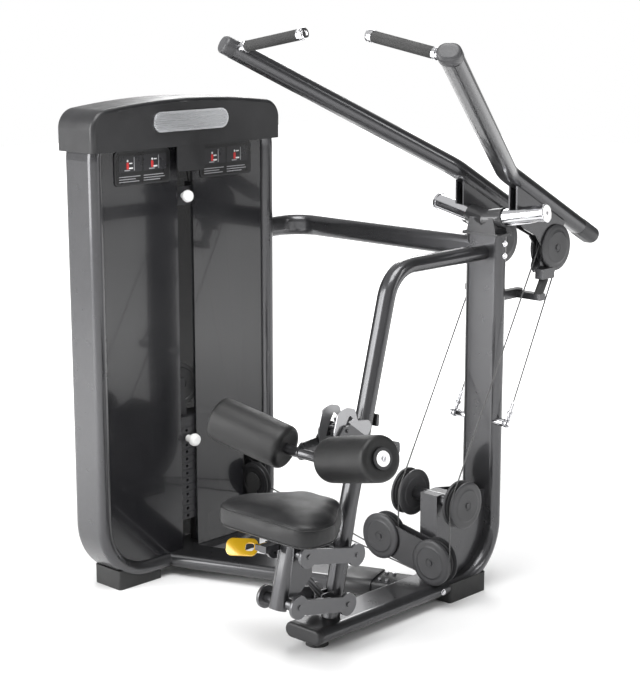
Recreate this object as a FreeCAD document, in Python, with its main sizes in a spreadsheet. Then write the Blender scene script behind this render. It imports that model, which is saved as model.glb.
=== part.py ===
"""Lat pulldown machine: a weight tower, an L-shaped main frame and two converging lever arms.

Millimetres, +Z up. The origin is the middle of the rear foot's underside. The user sits
facing +Y, the weight tower stands on the user's left (-X), and X = 0 is the mid-plane of
the main frame, so left parts have negative X.
"""
import FreeCAD, Part
import math
import os
from FreeCAD import Placement, Rotation, Vector

doc = FreeCAD.newDocument("LatPulldown")

# --------------------------------------------------------------------------- driving sizes
SIZES = (
    ("tube_width", 150, "flat-oval frame tube, wide side"),
    ("tube_depth", 50, "flat-oval frame tube, narrow side"),
    ("tube_wall", 3, "wall of the frame tubes"),
    ("floor_gap", 25, "underside of the floor tubes above the floor"),
    ("bend_radius", 180, "centreline radius of the big frame bends"),
    ("beam_front_y", -690, "front end of the floor beam"),
    ("upright_y", 158, "centreline of the upright"),
    ("upright_top", 1192, "top end of the upright tube"),
    ("front_tube_width", 60, "front tube across X"),
    ("front_tube_depth", 50, "front tube along its bend"),
    ("front_tube_bend", 120, "radius of the upper bend of the front tube"),
    ("front_tube_top", 1135, "height of the level stretch of the front tube"),
    ("link_tube_height", 75, "upper tube between upright and tower"),
    ("link_tube_depth", 50, "thickness of that tube"),
    ("link_tube_z", 1147, "its centre height"),
    ("tower_x", -867, "mid-plane of the weight tower"),
    ("tower_front_y", -815, "centreline of the tower's user-side post"),
    ("tower_back_y", -54, "centreline of the tower's rear post"),
    ("tower_top", 1565, "centreline of the tower's top rail"),
    ("tower_top_bend", 120, "radius of the tower's top bends"),
    ("cap_drop", 93, "lower edge of the tower cap below the top rail"),
    ("cap_rise", 64, "highest point of the tower cap above the top rail"),
    ("cap_depth", 180, "tower cap across X"),
    ("cap_wall", 4, "wall of the tower cap"),
    ("shield_thick", 4, "tower shields"),
    ("slot_width", 70, "slot between the front shields"),
    ("pivot_z", 1240, "height where the two arm pivot axes meet"),
    ("pivot_rise", 10, "degrees the pivot axes rise outwards"),
    ("pivot_sweep", 6, "degrees the pivot axes sweep back"),
    ("shaft_radius", 18, "arm pivot shaft"),
    ("sleeve_radius", 28, "arm pivot sleeve"),
    ("sleeve_start", 72, "inner end of a sleeve along its axis"),
    ("sleeve_end", 218, "outer end of a sleeve along its axis"),
    ("arm_width", 72, "arm tube across"),
    ("arm_height", 56, "arm tube height"),
    ("arm_wall", 4, "arm tube wall"),
    ("grip_radius", 17, "rubber hand grip"),
    ("cable_radius", 2.5, "steel cable with its sheath"),
    ("groove_radius", 60, "cable centreline on the large wheels"),
    ("rim_height", 8, "rim of the large wheels above the cable centreline"),
    ("wheel_half", 11, "half thickness of the large wheels"),
    ("axle_radius", 10, "wheel axles"),
    ("cover_margin", 17, "wheel covers beyond the cable centreline"),
    ("cable_x", 110, "the two cables run this far from the mid-plane"),
    ("drop_y", -141, "plane in which the cables drop to the floor wheels"),
    ("mid_wheel_z", 345, "height of the middle wheels"),
    ("plate_pitch", 25.4, "weight plate pitch"),
    ("plate_gap", 0.6, "air between weight plates"),
    ("plate_count", 13, "weight plates"),
    ("lifted_count", 2, "plates above the selector pin"),
    ("stack_bottom", 172.5, "underside of the lowest plate"),
    ("plate_width", 300, "weight plates along Y"),
    ("plate_depth", 88, "weight plates across X"),
    ("rod_radius", 12.5, "guide rods"),
    ("rod_offset", 90, "guide rods from the stack's centre"),
    ("seat_link_y", -213, "seat link, rear pivot to front pivot along Y"),
    ("seat_link_z", 46.5, "the same along Z"),
    ("seat_pivot_y", -584, "lower rear seat pivot"),
    ("seat_pivot_z", 131, "the same, height"),
    ("coupler_y", 40, "upper rear pivot from the lower one, along Y"),
    ("coupler_z", 149, "the same along Z"),
    ("link_thick", 10, "seat link plates"),
    ("link_face", 75, "outer face of the seat links"),
    ("pin_radius", 8, "seat and pad pivot pins"),
    ("seat_width", 424, "seat pad across"),
    ("seat_back_y", -908, "rear edge of the seat pad"),
    ("seat_nose_y", -598, "front tip of the seat pad"),
    ("seat_bottom", 396, "underside of the seat pad"),
    ("seat_thick", 82, "seat pad edge thickness"),
    ("pad_radius", 70, "thigh roller pads"),
    ("bar_radius", 16, "thigh roller bar"),
    ("pad_pivot_y", -334, "thigh pad arm pivot"),
    ("pad_pivot_z", 568, "the same, height"),
    ("fit", 0.05, "running fit on shafts, radial"),
    ("clear", 0.3, "gap between moving neighbours"),
)
sheet = doc.addObject("Spreadsheet::Sheet", "Sizes")
for row, (alias, number, note) in enumerate(SIZES, start=1):
    sheet.set("A%d" % row, alias)
    sheet.set("B%d" % row, str(number))
    sheet.setAlias("B%d" % row, alias)
    sheet.set("C%d" % row, note)
doc.recompute()


def size(alias):
    """Number held by the sheet under this alias."""
    return float(sheet.get(alias))


X_AXIS = Vector(1, 0, 0)
Y_AXIS = Vector(0, 1, 0)
Z_AXIS = Vector(0, 0, 1)
parts = []


# --------------------------------------------------------------------------- shape helpers
def keep(obj, label):
    """Name an object and list it for export."""
    obj.Label = label
    parts.append(obj)
    return obj


def feature(label, shape):
    """A sub-part whose shape is computed."""
    obj = doc.addObject("Part::Feature", label)
    obj.Shape = shape
    return keep(obj, label)


def group(shapes):
    """Separate solids in one node."""
    solids = []
    for shape in shapes:
        solids += shape.Solids
    return Part.makeCompound(solids)


def fuse(first, *others):
    """Union of solids."""
    return first.multiFuse(list(others)).removeSplitter()


def block(x0, x1, y0, y1, z0, z1):
    """Box between two corners."""
    return Part.makeBox(x1 - x0, y1 - y0, z1 - z0, Vector(x0, y0, z0))


def rod(radius, start, end):
    """Cylinder between two points."""
    along = end - start
    return Part.makeCylinder(radius, along.Length, start, along)


def pipe_ring(outer, inner, start, end):
    """Hollow cylinder between two points."""
    return rod(outer, start, end).cut(rod(inner, start, end))


def mirrored(shape):
    """The same shape on the other side of the mid-plane."""
    return shape.mirror(Vector(0, 0, 0), X_AXIS)


def corner_arc(before, corner, after, radius):
    """Start, middle, end and centre of the arc that rounds a corner."""
    back = (before - corner).normalize()
    ahead = (after - corner).normalize()
    half = back.getAngle(ahead) / 2
    reach = radius / math.tan(half)
    middle_line = (back + ahead).normalize()
    centre = corner + middle_line * (radius / math.sin(half))
    return corner + back * reach, centre - middle_line * radius, corner + ahead * reach, centre


def route(points, radii, closed=False):
    """Wire of straight runs joined by arcs; radii holds one value per inner corner."""
    edges = []
    count = len(points)
    inner = range(count) if closed else range(1, count - 1)
    arcs = {}
    for place, index in enumerate(inner):
        radius = radii[place] if isinstance(radii, (list, tuple)) else radii
        arcs[index] = corner_arc(points[index - 1], points[index], points[(index + 1) % count], radius)
    last = count if closed else count - 1
    for index in range(last):
        ahead = (index + 1) % count
        start = arcs[index][2] if index in arcs else points[index]
        end = arcs[ahead][0] if ahead in arcs else points[ahead]
        if (end - start).Length > 1e-6:
            edges.append(Part.LineSegment(start, end).toShape())
        if ahead in arcs:
            edges.append(Part.Arc(arcs[ahead][0], arcs[ahead][1], arcs[ahead][2]).toShape())
    return Part.Wire(edges)


def rounded_outline(width, height, radius, centre, along, up):
    """Closed wire of a rectangle with round corners, in the plane of along and up."""
    radius = min(radius, width / 2 - 0.01, height / 2 - 0.01)
    corners = []
    for sign_a, sign_b in ((-1, -1), (1, -1), (1, 1), (-1, 1)):
        corners.append(centre + along * (sign_a * width / 2) + up * (sign_b * height / 2))
    return route(corners, radius, closed=True)


def sweep(path, width, height, radius, across):
    """Solid swept along a wire; `across` is the section's wide direction at the start."""
    first = path.Edges[0]
    start = first.valueAt(first.FirstParameter)
    tangent = first.tangentAt(first.FirstParameter)
    up = tangent.cross(across).normalize()
    profile = rounded_outline(width, height, radius, start, across, up)
    shell = Part.BRepOffsetAPI.MakePipeShell(path)
    shell.setFrenetMode(False)
    shell.setTransitionMode(2)
    shell.add(profile)
    shell.build()
    shell.makeSolid()
    return shell.shape()


def flat_oval(path, width, depth, wall, across):
    """Outer envelope and hollow tube of a flat-oval section."""
    outer = sweep(path, width, depth, depth / 2, across)
    inner = sweep(path, width - 2 * wall, depth - 2 * wall, depth / 2 - wall, across)
    return outer, outer.cut(inner)


def round_pipe(path, radius):
    """Round bar along a wire."""
    first = path.Edges[0]
    start = first.valueAt(first.FirstParameter)
    tangent = first.tangentAt(first.FirstParameter)
    profile = Part.Wire([Part.makeCircle(radius, start, tangent)])
    shell = Part.BRepOffsetAPI.MakePipeShell(path)
    shell.setFrenetMode(False)
    shell.add(profile)
    shell.build()
    shell.makeSolid()
    return shell.shape()


def slab(points, thickness, direction, radius=0):
    """Plate: closed outline with rounded corners, thickened along a direction."""
    if radius:
        wire = route(points, radius, closed=True)
    else:
        wire = Part.makePolygon(points + [points[0]])
    return Part.Face(wire).extrude(direction * thickness)


def yz(x, y, z):
    """Point in a plane of constant X."""
    return Vector(x, y, z)


# --------------------------------------------------------------------------- sketched bodies
def origin_plane(body, role):
    """One of a body's own origin planes."""
    for element in body.Origin.OriginFeatures:
        if element.Role == role:
            return element
    raise ValueError(role)


def new_sketch(body, role, name):
    """Sketch on an origin plane of its own body."""
    sketch = body.newObject("Sketcher::SketchObject", name)
    sketch.AttachmentSupport = [(origin_plane(body, role), "")]
    sketch.MapMode = "FlatFace"
    return sketch


def draw_polygon(sketch, points):
    """Closed outline of straight lines."""
    for here, there in zip(points, points[1:] + points[:1]):
        sketch.addGeometry(Part.LineSegment(Vector(*here, 0), Vector(*there, 0)), False)


def turned_body(label, profile, placement):
    """PartDesign revolution about local X of a profile of (axial, radial) points."""
    body = doc.addObject("PartDesign::Body", label)
    sketch = new_sketch(body, "XY_Plane", label + "_profile")
    draw_polygon(sketch, profile)
    turn = body.newObject("PartDesign::Revolution", label + "_turn")
    turn.Profile = sketch
    turn.ReferenceAxis = (sketch, ["H_Axis"])
    turn.Angle = 360
    body.Placement = placement
    return keep(body, label)


def padded_body(label, role, outline, thickness, placement, holes=()):
    """PartDesign pad of an outline; `thickness` is the alias that sets its length."""
    body = doc.addObject("PartDesign::Body", label)
    sketch = new_sketch(body, role, label + "_outline")
    for edge in outline:
        sketch.addGeometry(edge, False)
    for centre, radius in holes:
        sketch.addGeometry(Part.Circle(Vector(*centre, 0), Z_AXIS, radius), False)
    pad = body.newObject("PartDesign::Pad", label + "_pad")
    pad.Profile = sketch
    pad.setExpression("Length", "Sizes." + thickness)
    body.Placement = placement
    return keep(body, label)


def axis_placement(centre, axis):
    """Placement that carries local X onto an axis through a centre."""
    return Placement(centre, Rotation(X_AXIS, axis))


# --------------------------------------------------------------------------- common places
TUBE_R = size("tube_depth") / 2
BEAM_Z = size("floor_gap") + TUBE_R
BEAM_TOP = BEAM_Z + TUBE_R
UPRIGHT_Y = size("upright_y")
TOWER_X = size("tower_x")
CAP_BOTTOM = size("tower_top") - size("cap_drop")
CAP_CROWN = size("tower_top") + size("cap_rise")
STACK_Y = (size("tower_front_y") + size("tower_back_y")) / 2
CABLE_X = size("cable_x")
DROP_Y = size("drop_y")
GROOVE = size("groove_radius")
WHEEL_RIM = GROOVE + size("rim_height")
COVER_R = GROOVE + size("cover_margin")
CABLE_R = size("cable_radius")
AXLE = size("axle_radius")
FIT = size("fit")
CLEAR = size("clear")
PIVOT = Vector(0, UPRIGHT_Y, size("pivot_z"))


def pivot_axis(side):
    """Direction of an arm's pivot axis, outwards; side is -1 left, 1 right."""
    rise = math.radians(size("pivot_rise"))
    turn = math.radians(size("pivot_sweep"))
    flat = math.cos(rise)
    return Vector(side * flat * math.cos(turn), flat * math.sin(turn), math.sin(rise))


# --------------------------------------------------------------------------- frame tubes
def frame_tubes():
    """The welded tubes: returns the outer envelopes that other pieces are trimmed to."""
    beam_path = route([
        Vector(0, size("beam_front_y"), BEAM_Z),
        Vector(0, UPRIGHT_Y, BEAM_Z),
        Vector(0, UPRIGHT_Y, size("upright_top")),
    ], size("bend_radius"))
    beam_outer, beam = flat_oval(beam_path, size("tube_width"), size("tube_depth"),
                                 size("tube_wall"), X_AXIS)
    feature("main_frame", beam)

    tower_path = route([
        Vector(TOWER_X, size("tower_front_y"), BEAM_Z),
        Vector(TOWER_X, size("tower_back_y"), BEAM_Z),
        Vector(TOWER_X, size("tower_back_y"), size("tower_top")),
        Vector(TOWER_X, size("tower_front_y"), size("tower_top")),
    ], [size("bend_radius"), size("bend_radius"), size("tower_top_bend"),
        size("tower_top_bend")], closed=True)
    tower_outer, tower = flat_oval(tower_path, size("tube_width"), size("tube_depth"),
                                   size("tube_wall"), X_AXIS)
    feature("tower_loop", tower)
    return beam_outer, tower_outer


FRONT_BASE_Y = -584
FRONT_KINK = Vector(0, -505, 415)
FRONT_SLOPE = 0.268


def front_tube_y(z):
    """Centreline Y of the front tube at a height below its upper bend."""
    if z < FRONT_KINK.z:
        share = (z - BEAM_TOP) / (FRONT_KINK.z - BEAM_TOP)
        return FRONT_BASE_Y + share * (FRONT_KINK.y - FRONT_BASE_Y)
    return FRONT_KINK.y + FRONT_SLOPE * (z - FRONT_KINK.z)


def seat_pivots():
    """Rear lower, rear upper, front lower and front upper seat pivots in the mid-plane."""
    rear_low = Vector(0, size("seat_pivot_y"), size("seat_pivot_z"))
    rear_up = rear_low + Vector(0, size("coupler_y"), size("coupler_z"))
    link = Vector(0, size("seat_link_y"), size("seat_link_z"))
    return rear_low, rear_up, rear_low + link, rear_up + link


def front_tube(beam_outer):
    """Bent tube from the floor beam to the upright, with the seat pivot hubs welded in."""
    slope = (FRONT_KINK.y - FRONT_BASE_Y) / (FRONT_KINK.z - BEAM_TOP)
    start = Vector(0, FRONT_BASE_Y - slope * 30, BEAM_TOP - 30)
    top = size("front_tube_top")
    path = route([
        start, FRONT_KINK,
        Vector(0, front_tube_y(top), top),
        Vector(0, UPRIGHT_Y, top),
    ], [400, size("front_tube_bend")])
    outer, tube = flat_oval(path, size("front_tube_width"), size("front_tube_depth"),
                            size("tube_wall"), X_AXIS)
    tube = tube.cut(beam_outer)
    rear_low, rear_up, _, _ = seat_pivots()
    hub_end = size("link_face") - size("link_thick") - CLEAR
    hub_radius = 18
    for place in (rear_low, rear_up):
        hub = rod(hub_radius, place - X_AXIS * hub_end, place + X_AXIS * hub_end)
        bore = rod(size("pin_radius") + FIT, place - X_AXIS * 100, place + X_AXIS * 100)
        tube = tube.fuse(hub).cut(bore)
    spring_low, _ = spring_ends()
    for side in (-1, 1):
        lug = slab([
            spring_low + Vector(side * 12, -14, 12), spring_low + Vector(side * 12, -14, -14),
            spring_low + Vector(side * 12, 34, -14), spring_low + Vector(side * 12, 40, 12),
        ], side * 5, X_AXIS)
        tube = tube.fuse(lug.cut(outer))
    tube = tube.cut(rod(6 + FIT, spring_low - X_AXIS * 40, spring_low + X_AXIS * 40))
    biggest = max(tube.Solids, key=lambda solid: solid.Volume)
    feature("front_tube", biggest)
    return outer


def top_link_tube(beam_outer, tower_outer):
    """Upper tube from the upright round to the tower."""
    path = route([
        Vector(0, UPRIGHT_Y, size("link_tube_z")),
        Vector(TOWER_X, UPRIGHT_Y, size("link_tube_z")),
        Vector(TOWER_X, size("tower_back_y"), size("link_tube_z")),
    ], 100)
    _, tube = flat_oval(path, size("link_tube_height"), size("link_tube_depth"),
                        size("tube_wall"), Z_AXIS)
    tube = tube.cut(beam_outer).cut(tower_outer)
    feature("top_link_tube", max(tube.Solids, key=lambda solid: solid.Volume))


CROSS_START = Vector(-840, -482, 0)
CROSS_END = Vector(-30, -164, 0)


def cross_point(x):
    """Point of the diagonal crossbeam's centreline at an X."""
    share = (x - CROSS_START.x) / (CROSS_END.x - CROSS_START.x)
    point = CROSS_START + (CROSS_END - CROSS_START) * share
    return Vector(x, point.y, BEAM_Z)


def crossbeam(beam_outer, tower_outer):
    """Diagonal floor tube, the sleeve over its end and the stub welded to the beam."""
    along = (CROSS_END - CROSS_START).normalize()
    across = Z_AXIS.cross(along).normalize()
    _, tube = flat_oval(Part.Wire([Part.LineSegment(cross_point(-860), cross_point(-236)).toShape()]),
                        size("tube_width"), size("tube_depth"), size("tube_wall"), across)
    tube = tube.cut(tower_outer)
    feature("crossbeam", max(tube.Solids, key=lambda solid: solid.Volume))

    stub_path = Part.Wire([Part.LineSegment(cross_point(-330), cross_point(-20)).toShape()])
    inset = 2 * size("tube_wall") + 2 * CLEAR
    _, stub = flat_oval(stub_path, size("tube_width") - inset, size("tube_depth") - inset, 3, across)
    stub = stub.cut(beam_outer)
    stub = max(stub.Solids, key=lambda solid: solid.Volume)
    bolts = []
    for x in (-122, -98):
        for side in (-1, 1):
            foot = cross_point(x) + across * (side * 34) + Z_AXIS * (size("tube_depth") - inset) * 0.5
            bolts.append(rod(7, foot, foot + Z_AXIS * 8))
    sleeve_path = Part.Wire([Part.LineSegment(cross_point(-240), cross_point(-140)).toShape()])
    skin = sweep(sleeve_path, size("tube_width") + 8, size("tube_depth") + 8,
                 size("tube_depth") / 2 + 4, across)
    hole = sweep(Part.Wire([Part.LineSegment(cross_point(-236), cross_point(-100)).toShape()]),
                 size("tube_width") - inset, size("tube_depth") - inset,
                 (size("tube_depth") - inset) / 2, across)
    socket = sweep(Part.Wire([Part.LineSegment(cross_point(-260), cross_point(-236)).toShape()]),
                   size("tube_width"), size("tube_depth"), size("tube_depth") / 2, across)
    feature("crossbeam_joint", group([stub, skin.cut(hole).cut(socket)] + bolts))


# --------------------------------------------------------------------------- feet and end caps
def feet(beam_outer, tower_outer):
    """Moulded feet under the bends, the round front foot and the beam's end cap."""
    foot_x = 77
    foot_y = 93
    foot_top = 66
    rear = block(-foot_x, foot_x, -foot_y, foot_y, 0, foot_top)
    rear = rear.makeFillet(10, [edge for edge in rear.Edges if abs(edge.BoundBox.ZLength) > 50])
    pair = [max(rear.cut(beam_outer).Solids, key=lambda solid: solid.BoundBox.XLength)]
    for sign, post_y in ((1, size("tower_front_y")), (-1, size("tower_back_y"))):
        middle = post_y + sign * (size("bend_radius") - 36)
        foot = block(TOWER_X - 66, TOWER_X + 66, middle - foot_y, middle + foot_y, 0, foot_top)
        foot = foot.makeFillet(10, [edge for edge in foot.Edges if abs(edge.BoundBox.ZLength) > 50])
        foot = foot.cut(tower_outer)
        pair.append(max(foot.Solids, key=lambda solid: solid.BoundBox.XLength))
    disc = Part.makeCone(36, 30, size("floor_gap"), Vector(0, size("beam_front_y") + 45, 0))

    cap_path = Part.Wire([Part.LineSegment(
        Vector(0, size("beam_front_y"), BEAM_Z), Vector(0, size("beam_front_y") - 22, BEAM_Z)).toShape()])
    cap = sweep(cap_path, size("tube_width"), size("tube_depth"), TUBE_R, X_AXIS)
    front = [edge for edge in cap.Edges
             if edge.BoundBox.YMax < size("beam_front_y") - 21 and edge.Length > 1]
    cap = cap.makeFillet(9, front)
    feature("feet_and_end_cap", group(pair + [disc, cap]))


# --------------------------------------------------------------------------- tower panels
CAP_SIDE = 35


def tower_cap():
    """Domed plastic cap over the tower, open below, with the tab over the slot."""
    y0 = size("tower_front_y") - CAP_SIDE
    y1 = size("tower_back_y") + CAP_SIDE
    edge_z = CAP_CROWN - 26
    depth = size("cap_depth")
    wall = size("cap_wall")

    def dome(inset, bottom):
        """Crowned outline extruded across the tower."""
        corner = 62 - inset
        x = TOWER_X - depth / 2 + inset
        low_a = Vector(x, y0 + inset, bottom)
        low_b = Vector(x, y1 - inset, bottom)
        up_a = Vector(x, y0 + inset, edge_z - inset)
        up_b = Vector(x, y1 - inset, edge_z - inset)
        lift = Z_AXIS * (corner * -0.92)
        start = up_a + lift
        finish = up_b + lift
        crown = Vector(x, (y0 + y1) / 2, CAP_CROWN - inset)
        left = up_a + Vector(0, corner, 4)
        right = up_b + Vector(0, -corner, 4)
        middle_a = up_a + Vector(0, corner * 0.28, corner * -0.27)
        middle_b = up_b + Vector(0, corner * -0.28, corner * -0.27)
        wire = Part.Wire([
            Part.LineSegment(low_b, low_a).toShape(), Part.LineSegment(low_a, start).toShape(),
            Part.Arc(start, middle_a, left).toShape(), Part.Arc(left, crown, right).toShape(),
            Part.Arc(right, middle_b, finish).toShape(), Part.LineSegment(finish, low_b).toShape(),
        ])
        return Part.Face(wire).extrude(X_AXIS * (depth - 2 * inset))

    shell = dome(0, CAP_BOTTOM)
    front_x = TOWER_X + depth / 2
    rim = [edge for edge in shell.Edges
           if edge.BoundBox.ZMin > CAP_BOTTOM + 20 and edge.BoundBox.XLength < 1]
    shell = shell.makeFillet(14, rim)
    hollow = dome(wall, CAP_BOTTOM - 1)
    rim = [edge for edge in hollow.Edges
           if edge.BoundBox.ZMin > CAP_BOTTOM + 20 and edge.BoundBox.XLength < 1]
    shell = shell.cut(hollow.makeFillet(14 - wall, rim))
    tab_half = size("slot_width") / 2 + 26
    tab_x = front_x - 5
    tab = slab([
        Vector(tab_x, STACK_Y - tab_half, CAP_BOTTOM + 2),
        Vector(tab_x, STACK_Y - tab_half, CAP_BOTTOM - 84),
        Vector(tab_x, STACK_Y + tab_half, CAP_BOTTOM - 84),
        Vector(tab_x, STACK_Y + tab_half, CAP_BOTTOM + 2),
    ], wall, X_AXIS)
    corner_edges = [edge for edge in tab.Edges
                    if edge.BoundBox.XLength > 1 and edge.BoundBox.ZMax < CAP_BOTTOM - 80]
    feature("tower_cap", fuse(shell, tab.makeFillet(16, corner_edges)))

    badge_x = front_x
    half = 165
    badge = Part.Face(rounded_outline(2 * half, 66, 32.9, Vector(badge_x, STACK_Y, CAP_BOTTOM + 84),
                                      Y_AXIS, Z_AXIS)).extrude(X_AXIS * 6)
    plaques = [badge]
    for centre_y in (STACK_Y - tab_half - 124, STACK_Y + tab_half + 124):
        plaque = Part.Face(rounded_outline(236, 112, 14, Vector(shield_front(), centre_y,
                                                                CAP_BOTTOM - 60),
                                           Y_AXIS, Z_AXIS)).extrude(X_AXIS * 4)
        plaques.append(plaque)
    feature("tower_plaques", group(plaques))


def shield_front():
    """Outer face of the front shields."""
    return TOWER_X + size("tube_width") / 2 - TUBE_R + 5


def shields(tower_outer):
    """Smoked panels inside the tower loop: two in front of the stack, one behind."""
    y0 = size("tower_front_y") + TUBE_R + CLEAR
    y1 = size("tower_back_y") - TUBE_R - CLEAR
    z0 = BEAM_TOP + CLEAR
    z1 = CAP_BOTTOM + 60
    thick = size("shield_thick")
    radius = size("bend_radius") - TUBE_R - CLEAR

    def panel(x):
        """Full panel with the loop's round lower corners."""
        wire = route([Vector(x, y0, z1), Vector(x, y0, z0), Vector(x, y1, z0), Vector(x, y1, z1)], radius)
        closing = Part.LineSegment(Vector(x, y1, z1), Vector(x, y0, z1)).toShape()
        whole = Part.Face(Part.Wire(wire.Edges + [closing])).extrude(X_AXIS * thick).cut(tower_outer)
        return max(whole.Solids, key=lambda solid: solid.Volume)

    half = size("slot_width") / 2
    front = panel(shield_front() - thick)
    slot = block(shield_front() - 50, shield_front() + 50, STACK_Y - half, STACK_Y + half, 0, 2000)
    lips = []
    for side in (-1, 1):
        edge_y = STACK_Y + side * half
        y_pair = sorted((edge_y, edge_y + side * 4))
        lips.append(block(shield_front() - thick - 6, shield_front() - thick, y_pair[0], y_pair[1],
                          z0 + 12, z1))
    port = block(shield_front() - 50, shield_front() + 50, DROP_Y - 38, y1 + 20,
                 exit_corner(1).z - 14, exit_corner(-1).z + 154)
    halves = front.cut(slot).cut(port).Solids
    halves.sort(key=lambda solid: solid.BoundBox.YMin)
    back = panel(TOWER_X - size("tube_width") / 2 + TUBE_R - 5)
    feature("tower_shields", group([fuse(halves[0], lips[0]), fuse(halves[1], lips[1]), back]))


# --------------------------------------------------------------------------- weight stack
def plate_z(index):
    """Underside of a weight plate, counted from the bottom."""
    return size("stack_bottom") + index * size("plate_pitch")


def weight_plate(index):
    """One plate with rod holes, stem hole and selector pin hole."""
    z0 = plate_z(index)
    thick = size("plate_pitch") - size("plate_gap")
    half_x = size("plate_depth") / 2
    half_y = size("plate_width") / 2
    plate = block(TOWER_X - half_x, TOWER_X + half_x, STACK_Y - half_y, STACK_Y + half_y, z0, z0 + thick)
    for offset in (-size("rod_offset"), size("rod_offset")):
        centre = Vector(TOWER_X, STACK_Y + offset, z0 - 1)
        plate = plate.cut(Part.makeCylinder(size("rod_radius") + 1.5, thick + 2, centre))
    plate = plate.cut(Part.makeCylinder(STEM_RADIUS + 1.5, thick + 2, Vector(TOWER_X, STACK_Y, z0 - 1)))
    pin_z = z0 + thick / 2
    tunnel = rod(PIN_R + 0.6, Vector(TOWER_X, STACK_Y, pin_z), Vector(TOWER_X + half_x + 1, STACK_Y, pin_z))
    return plate.cut(tunnel)


STEM_RADIUS = 14
PIN_R = 5


def weight_stack(tower_outer):
    """Guide rods, buffers, plates, and the head plate with its stem and wheel yoke."""
    count = int(size("plate_count"))
    lifted = int(size("lifted_count"))
    still = count - lifted
    rods = []
    buffers = []
    for offset in (-size("rod_offset"), size("rod_offset")):
        y = STACK_Y + offset
        rods.append(rod(size("rod_radius"), Vector(TOWER_X, y, BEAM_TOP),
                        Vector(TOWER_X, y, size("tower_top") - TUBE_R)))
        low = Vector(TOWER_X, y, BEAM_TOP)
        high = Vector(TOWER_X, y, size("stack_bottom"))
        buffers.append(pipe_ring(30, size("rod_radius") + 1, low, high))
    feature("stack_guides", group(rods + buffers + tower_pulley_brackets(tower_outer)))
    feature("resting_plates", group([weight_plate(index) for index in range(still)]))
    feature("lifted_plates", group([weight_plate(index) for index in range(still, count)]))

    top = plate_z(count)
    half_x = size("plate_depth") / 2
    half_y = size("plate_width") / 2
    head = block(TOWER_X - half_x, TOWER_X + half_x, STACK_Y - half_y, STACK_Y + half_y, top, top + 36)
    for offset in (-size("rod_offset"), size("rod_offset")):
        head = head.cut(Part.makeCylinder(size("rod_radius") + 1, 60,
                                          Vector(TOWER_X, STACK_Y + offset, top - 1)))
    stem_bottom = plate_z(0) + 6
    stem = rod(STEM_RADIUS, Vector(TOWER_X, STACK_Y, stem_bottom), Vector(TOWER_X, STACK_Y, top + 10))
    for index in range(count):
        pin_z = plate_z(index) + (size("plate_pitch") - size("plate_gap")) / 2
        stem = stem.cut(rod(PIN_R + 0.6, Vector(TOWER_X - 30, STACK_Y, pin_z),
                            Vector(TOWER_X + 30, STACK_Y, pin_z)))
    carriage = fuse(head, stem)
    across = floating_axis()
    centre = floating_centre()
    arms = []
    for side in (-1, 1):
        base = centre + across * (side * (size("wheel_half") + 1))
        along = across.cross(Z_AXIS).normalize()
        low_z = top + 30 - centre.z
        arms.append(slab([base + along * -26 + Z_AXIS * low_z, base + along * 26 + Z_AXIS * low_z,
                          base + along * 20 + Z_AXIS * 20, base + along * -20 + Z_AXIS * 20],
                         side * 6, across))
    axle = rod(AXLE, centre - across * 24, centre + across * 24)
    carriage = fuse(carriage, arms[0], arms[1], axle)
    wrap = round_pipe(Part.Wire([Part.Arc(*floating_wrap()).toShape()]), CABLE_R)
    feature("lift_carriage", group([carriage, wrap]))


def stack_strand_places():
    """Top view places of the right and left cable strands that carry the stack."""
    right = Vector(TOWER_X + 28, STACK_Y + GROOVE, 0)
    left = Vector(TOWER_X - 28, STACK_Y - GROOVE, 0)
    return right, left


def floating_centre():
    """Centre of the wheel that hangs in the cable loop above the stack."""
    return Vector(TOWER_X, STACK_Y, plate_z(int(size("plate_count"))) + 146)


def floating_axis():
    """Axis of that wheel."""
    right, left = stack_strand_places()
    return (right - left).cross(Z_AXIS).normalize()


def floating_radius():
    """Cable radius on that wheel."""
    right, left = stack_strand_places()
    return (right - left).Length / 2


def floating_wrap():
    """Three points of the cable under that wheel."""
    right, left = stack_strand_places()
    height = Z_AXIS * floating_centre().z
    return right + height, floating_centre() - Z_AXIS * floating_radius(), left + height


def selector_pin():
    """Weight pin with a round knob, through the plate that carries the lifted ones."""
    still = int(size("plate_count")) - int(size("lifted_count"))
    pin_z = plate_z(still) + (size("plate_pitch") - size("plate_gap")) / 2
    face = size("plate_depth") / 2
    profile = [(-12, 0), (-12, PIN_R), (face + 6, PIN_R), (face + 6, 12), (face + 24, 12),
               (face + 30, 19), (face + 40, 22), (face + 50, 19), (face + 54, 12), (face + 54, 0)]
    turned_body("selector_pin", profile, Placement(Vector(TOWER_X, STACK_Y, pin_z), Rotation()))


def add_on_weight():
    """Small increment weight on the right guide rod, held by a spring knob."""
    y = STACK_Y + size("rod_offset")
    z = size("tower_top") - 303
    body = block(TOWER_X - 24, TOWER_X + 32, y - 24, y + 30, z, z + 78)
    body = body.makeFillet(4, body.Edges)
    body = body.cut(rod(size("rod_radius") + 1, Vector(TOWER_X, y, z - 5), Vector(TOWER_X, y, z + 90)))
    pad = block(TOWER_X + 31.8, TOWER_X + 42, y - 112, y + 4, z + 8, z + 70)
    whole = fuse(body, pad)
    knob_place = Vector(TOWER_X, STACK_Y, z + 40)
    whole = whole.cut(rod(4 + FIT, knob_place + X_AXIS * 20, knob_place + X_AXIS * 60))
    feature("add_on_weight", whole)
    profile = [(33, 0), (33, 4), (42.3, 4), (42.3, 9), (52, 9), (58, 18), (68, 21), (78, 18), (82, 10), (82, 0)]
    turned_body("add_on_knob", profile, Placement(knob_place, Rotation()))


# --------------------------------------------------------------------------- cable geometry
def mid_wheel_centre(side):
    """Centre of a middle wheel."""
    return Vector(side * CABLE_X, DROP_Y + GROOVE, size("mid_wheel_z"))


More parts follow.
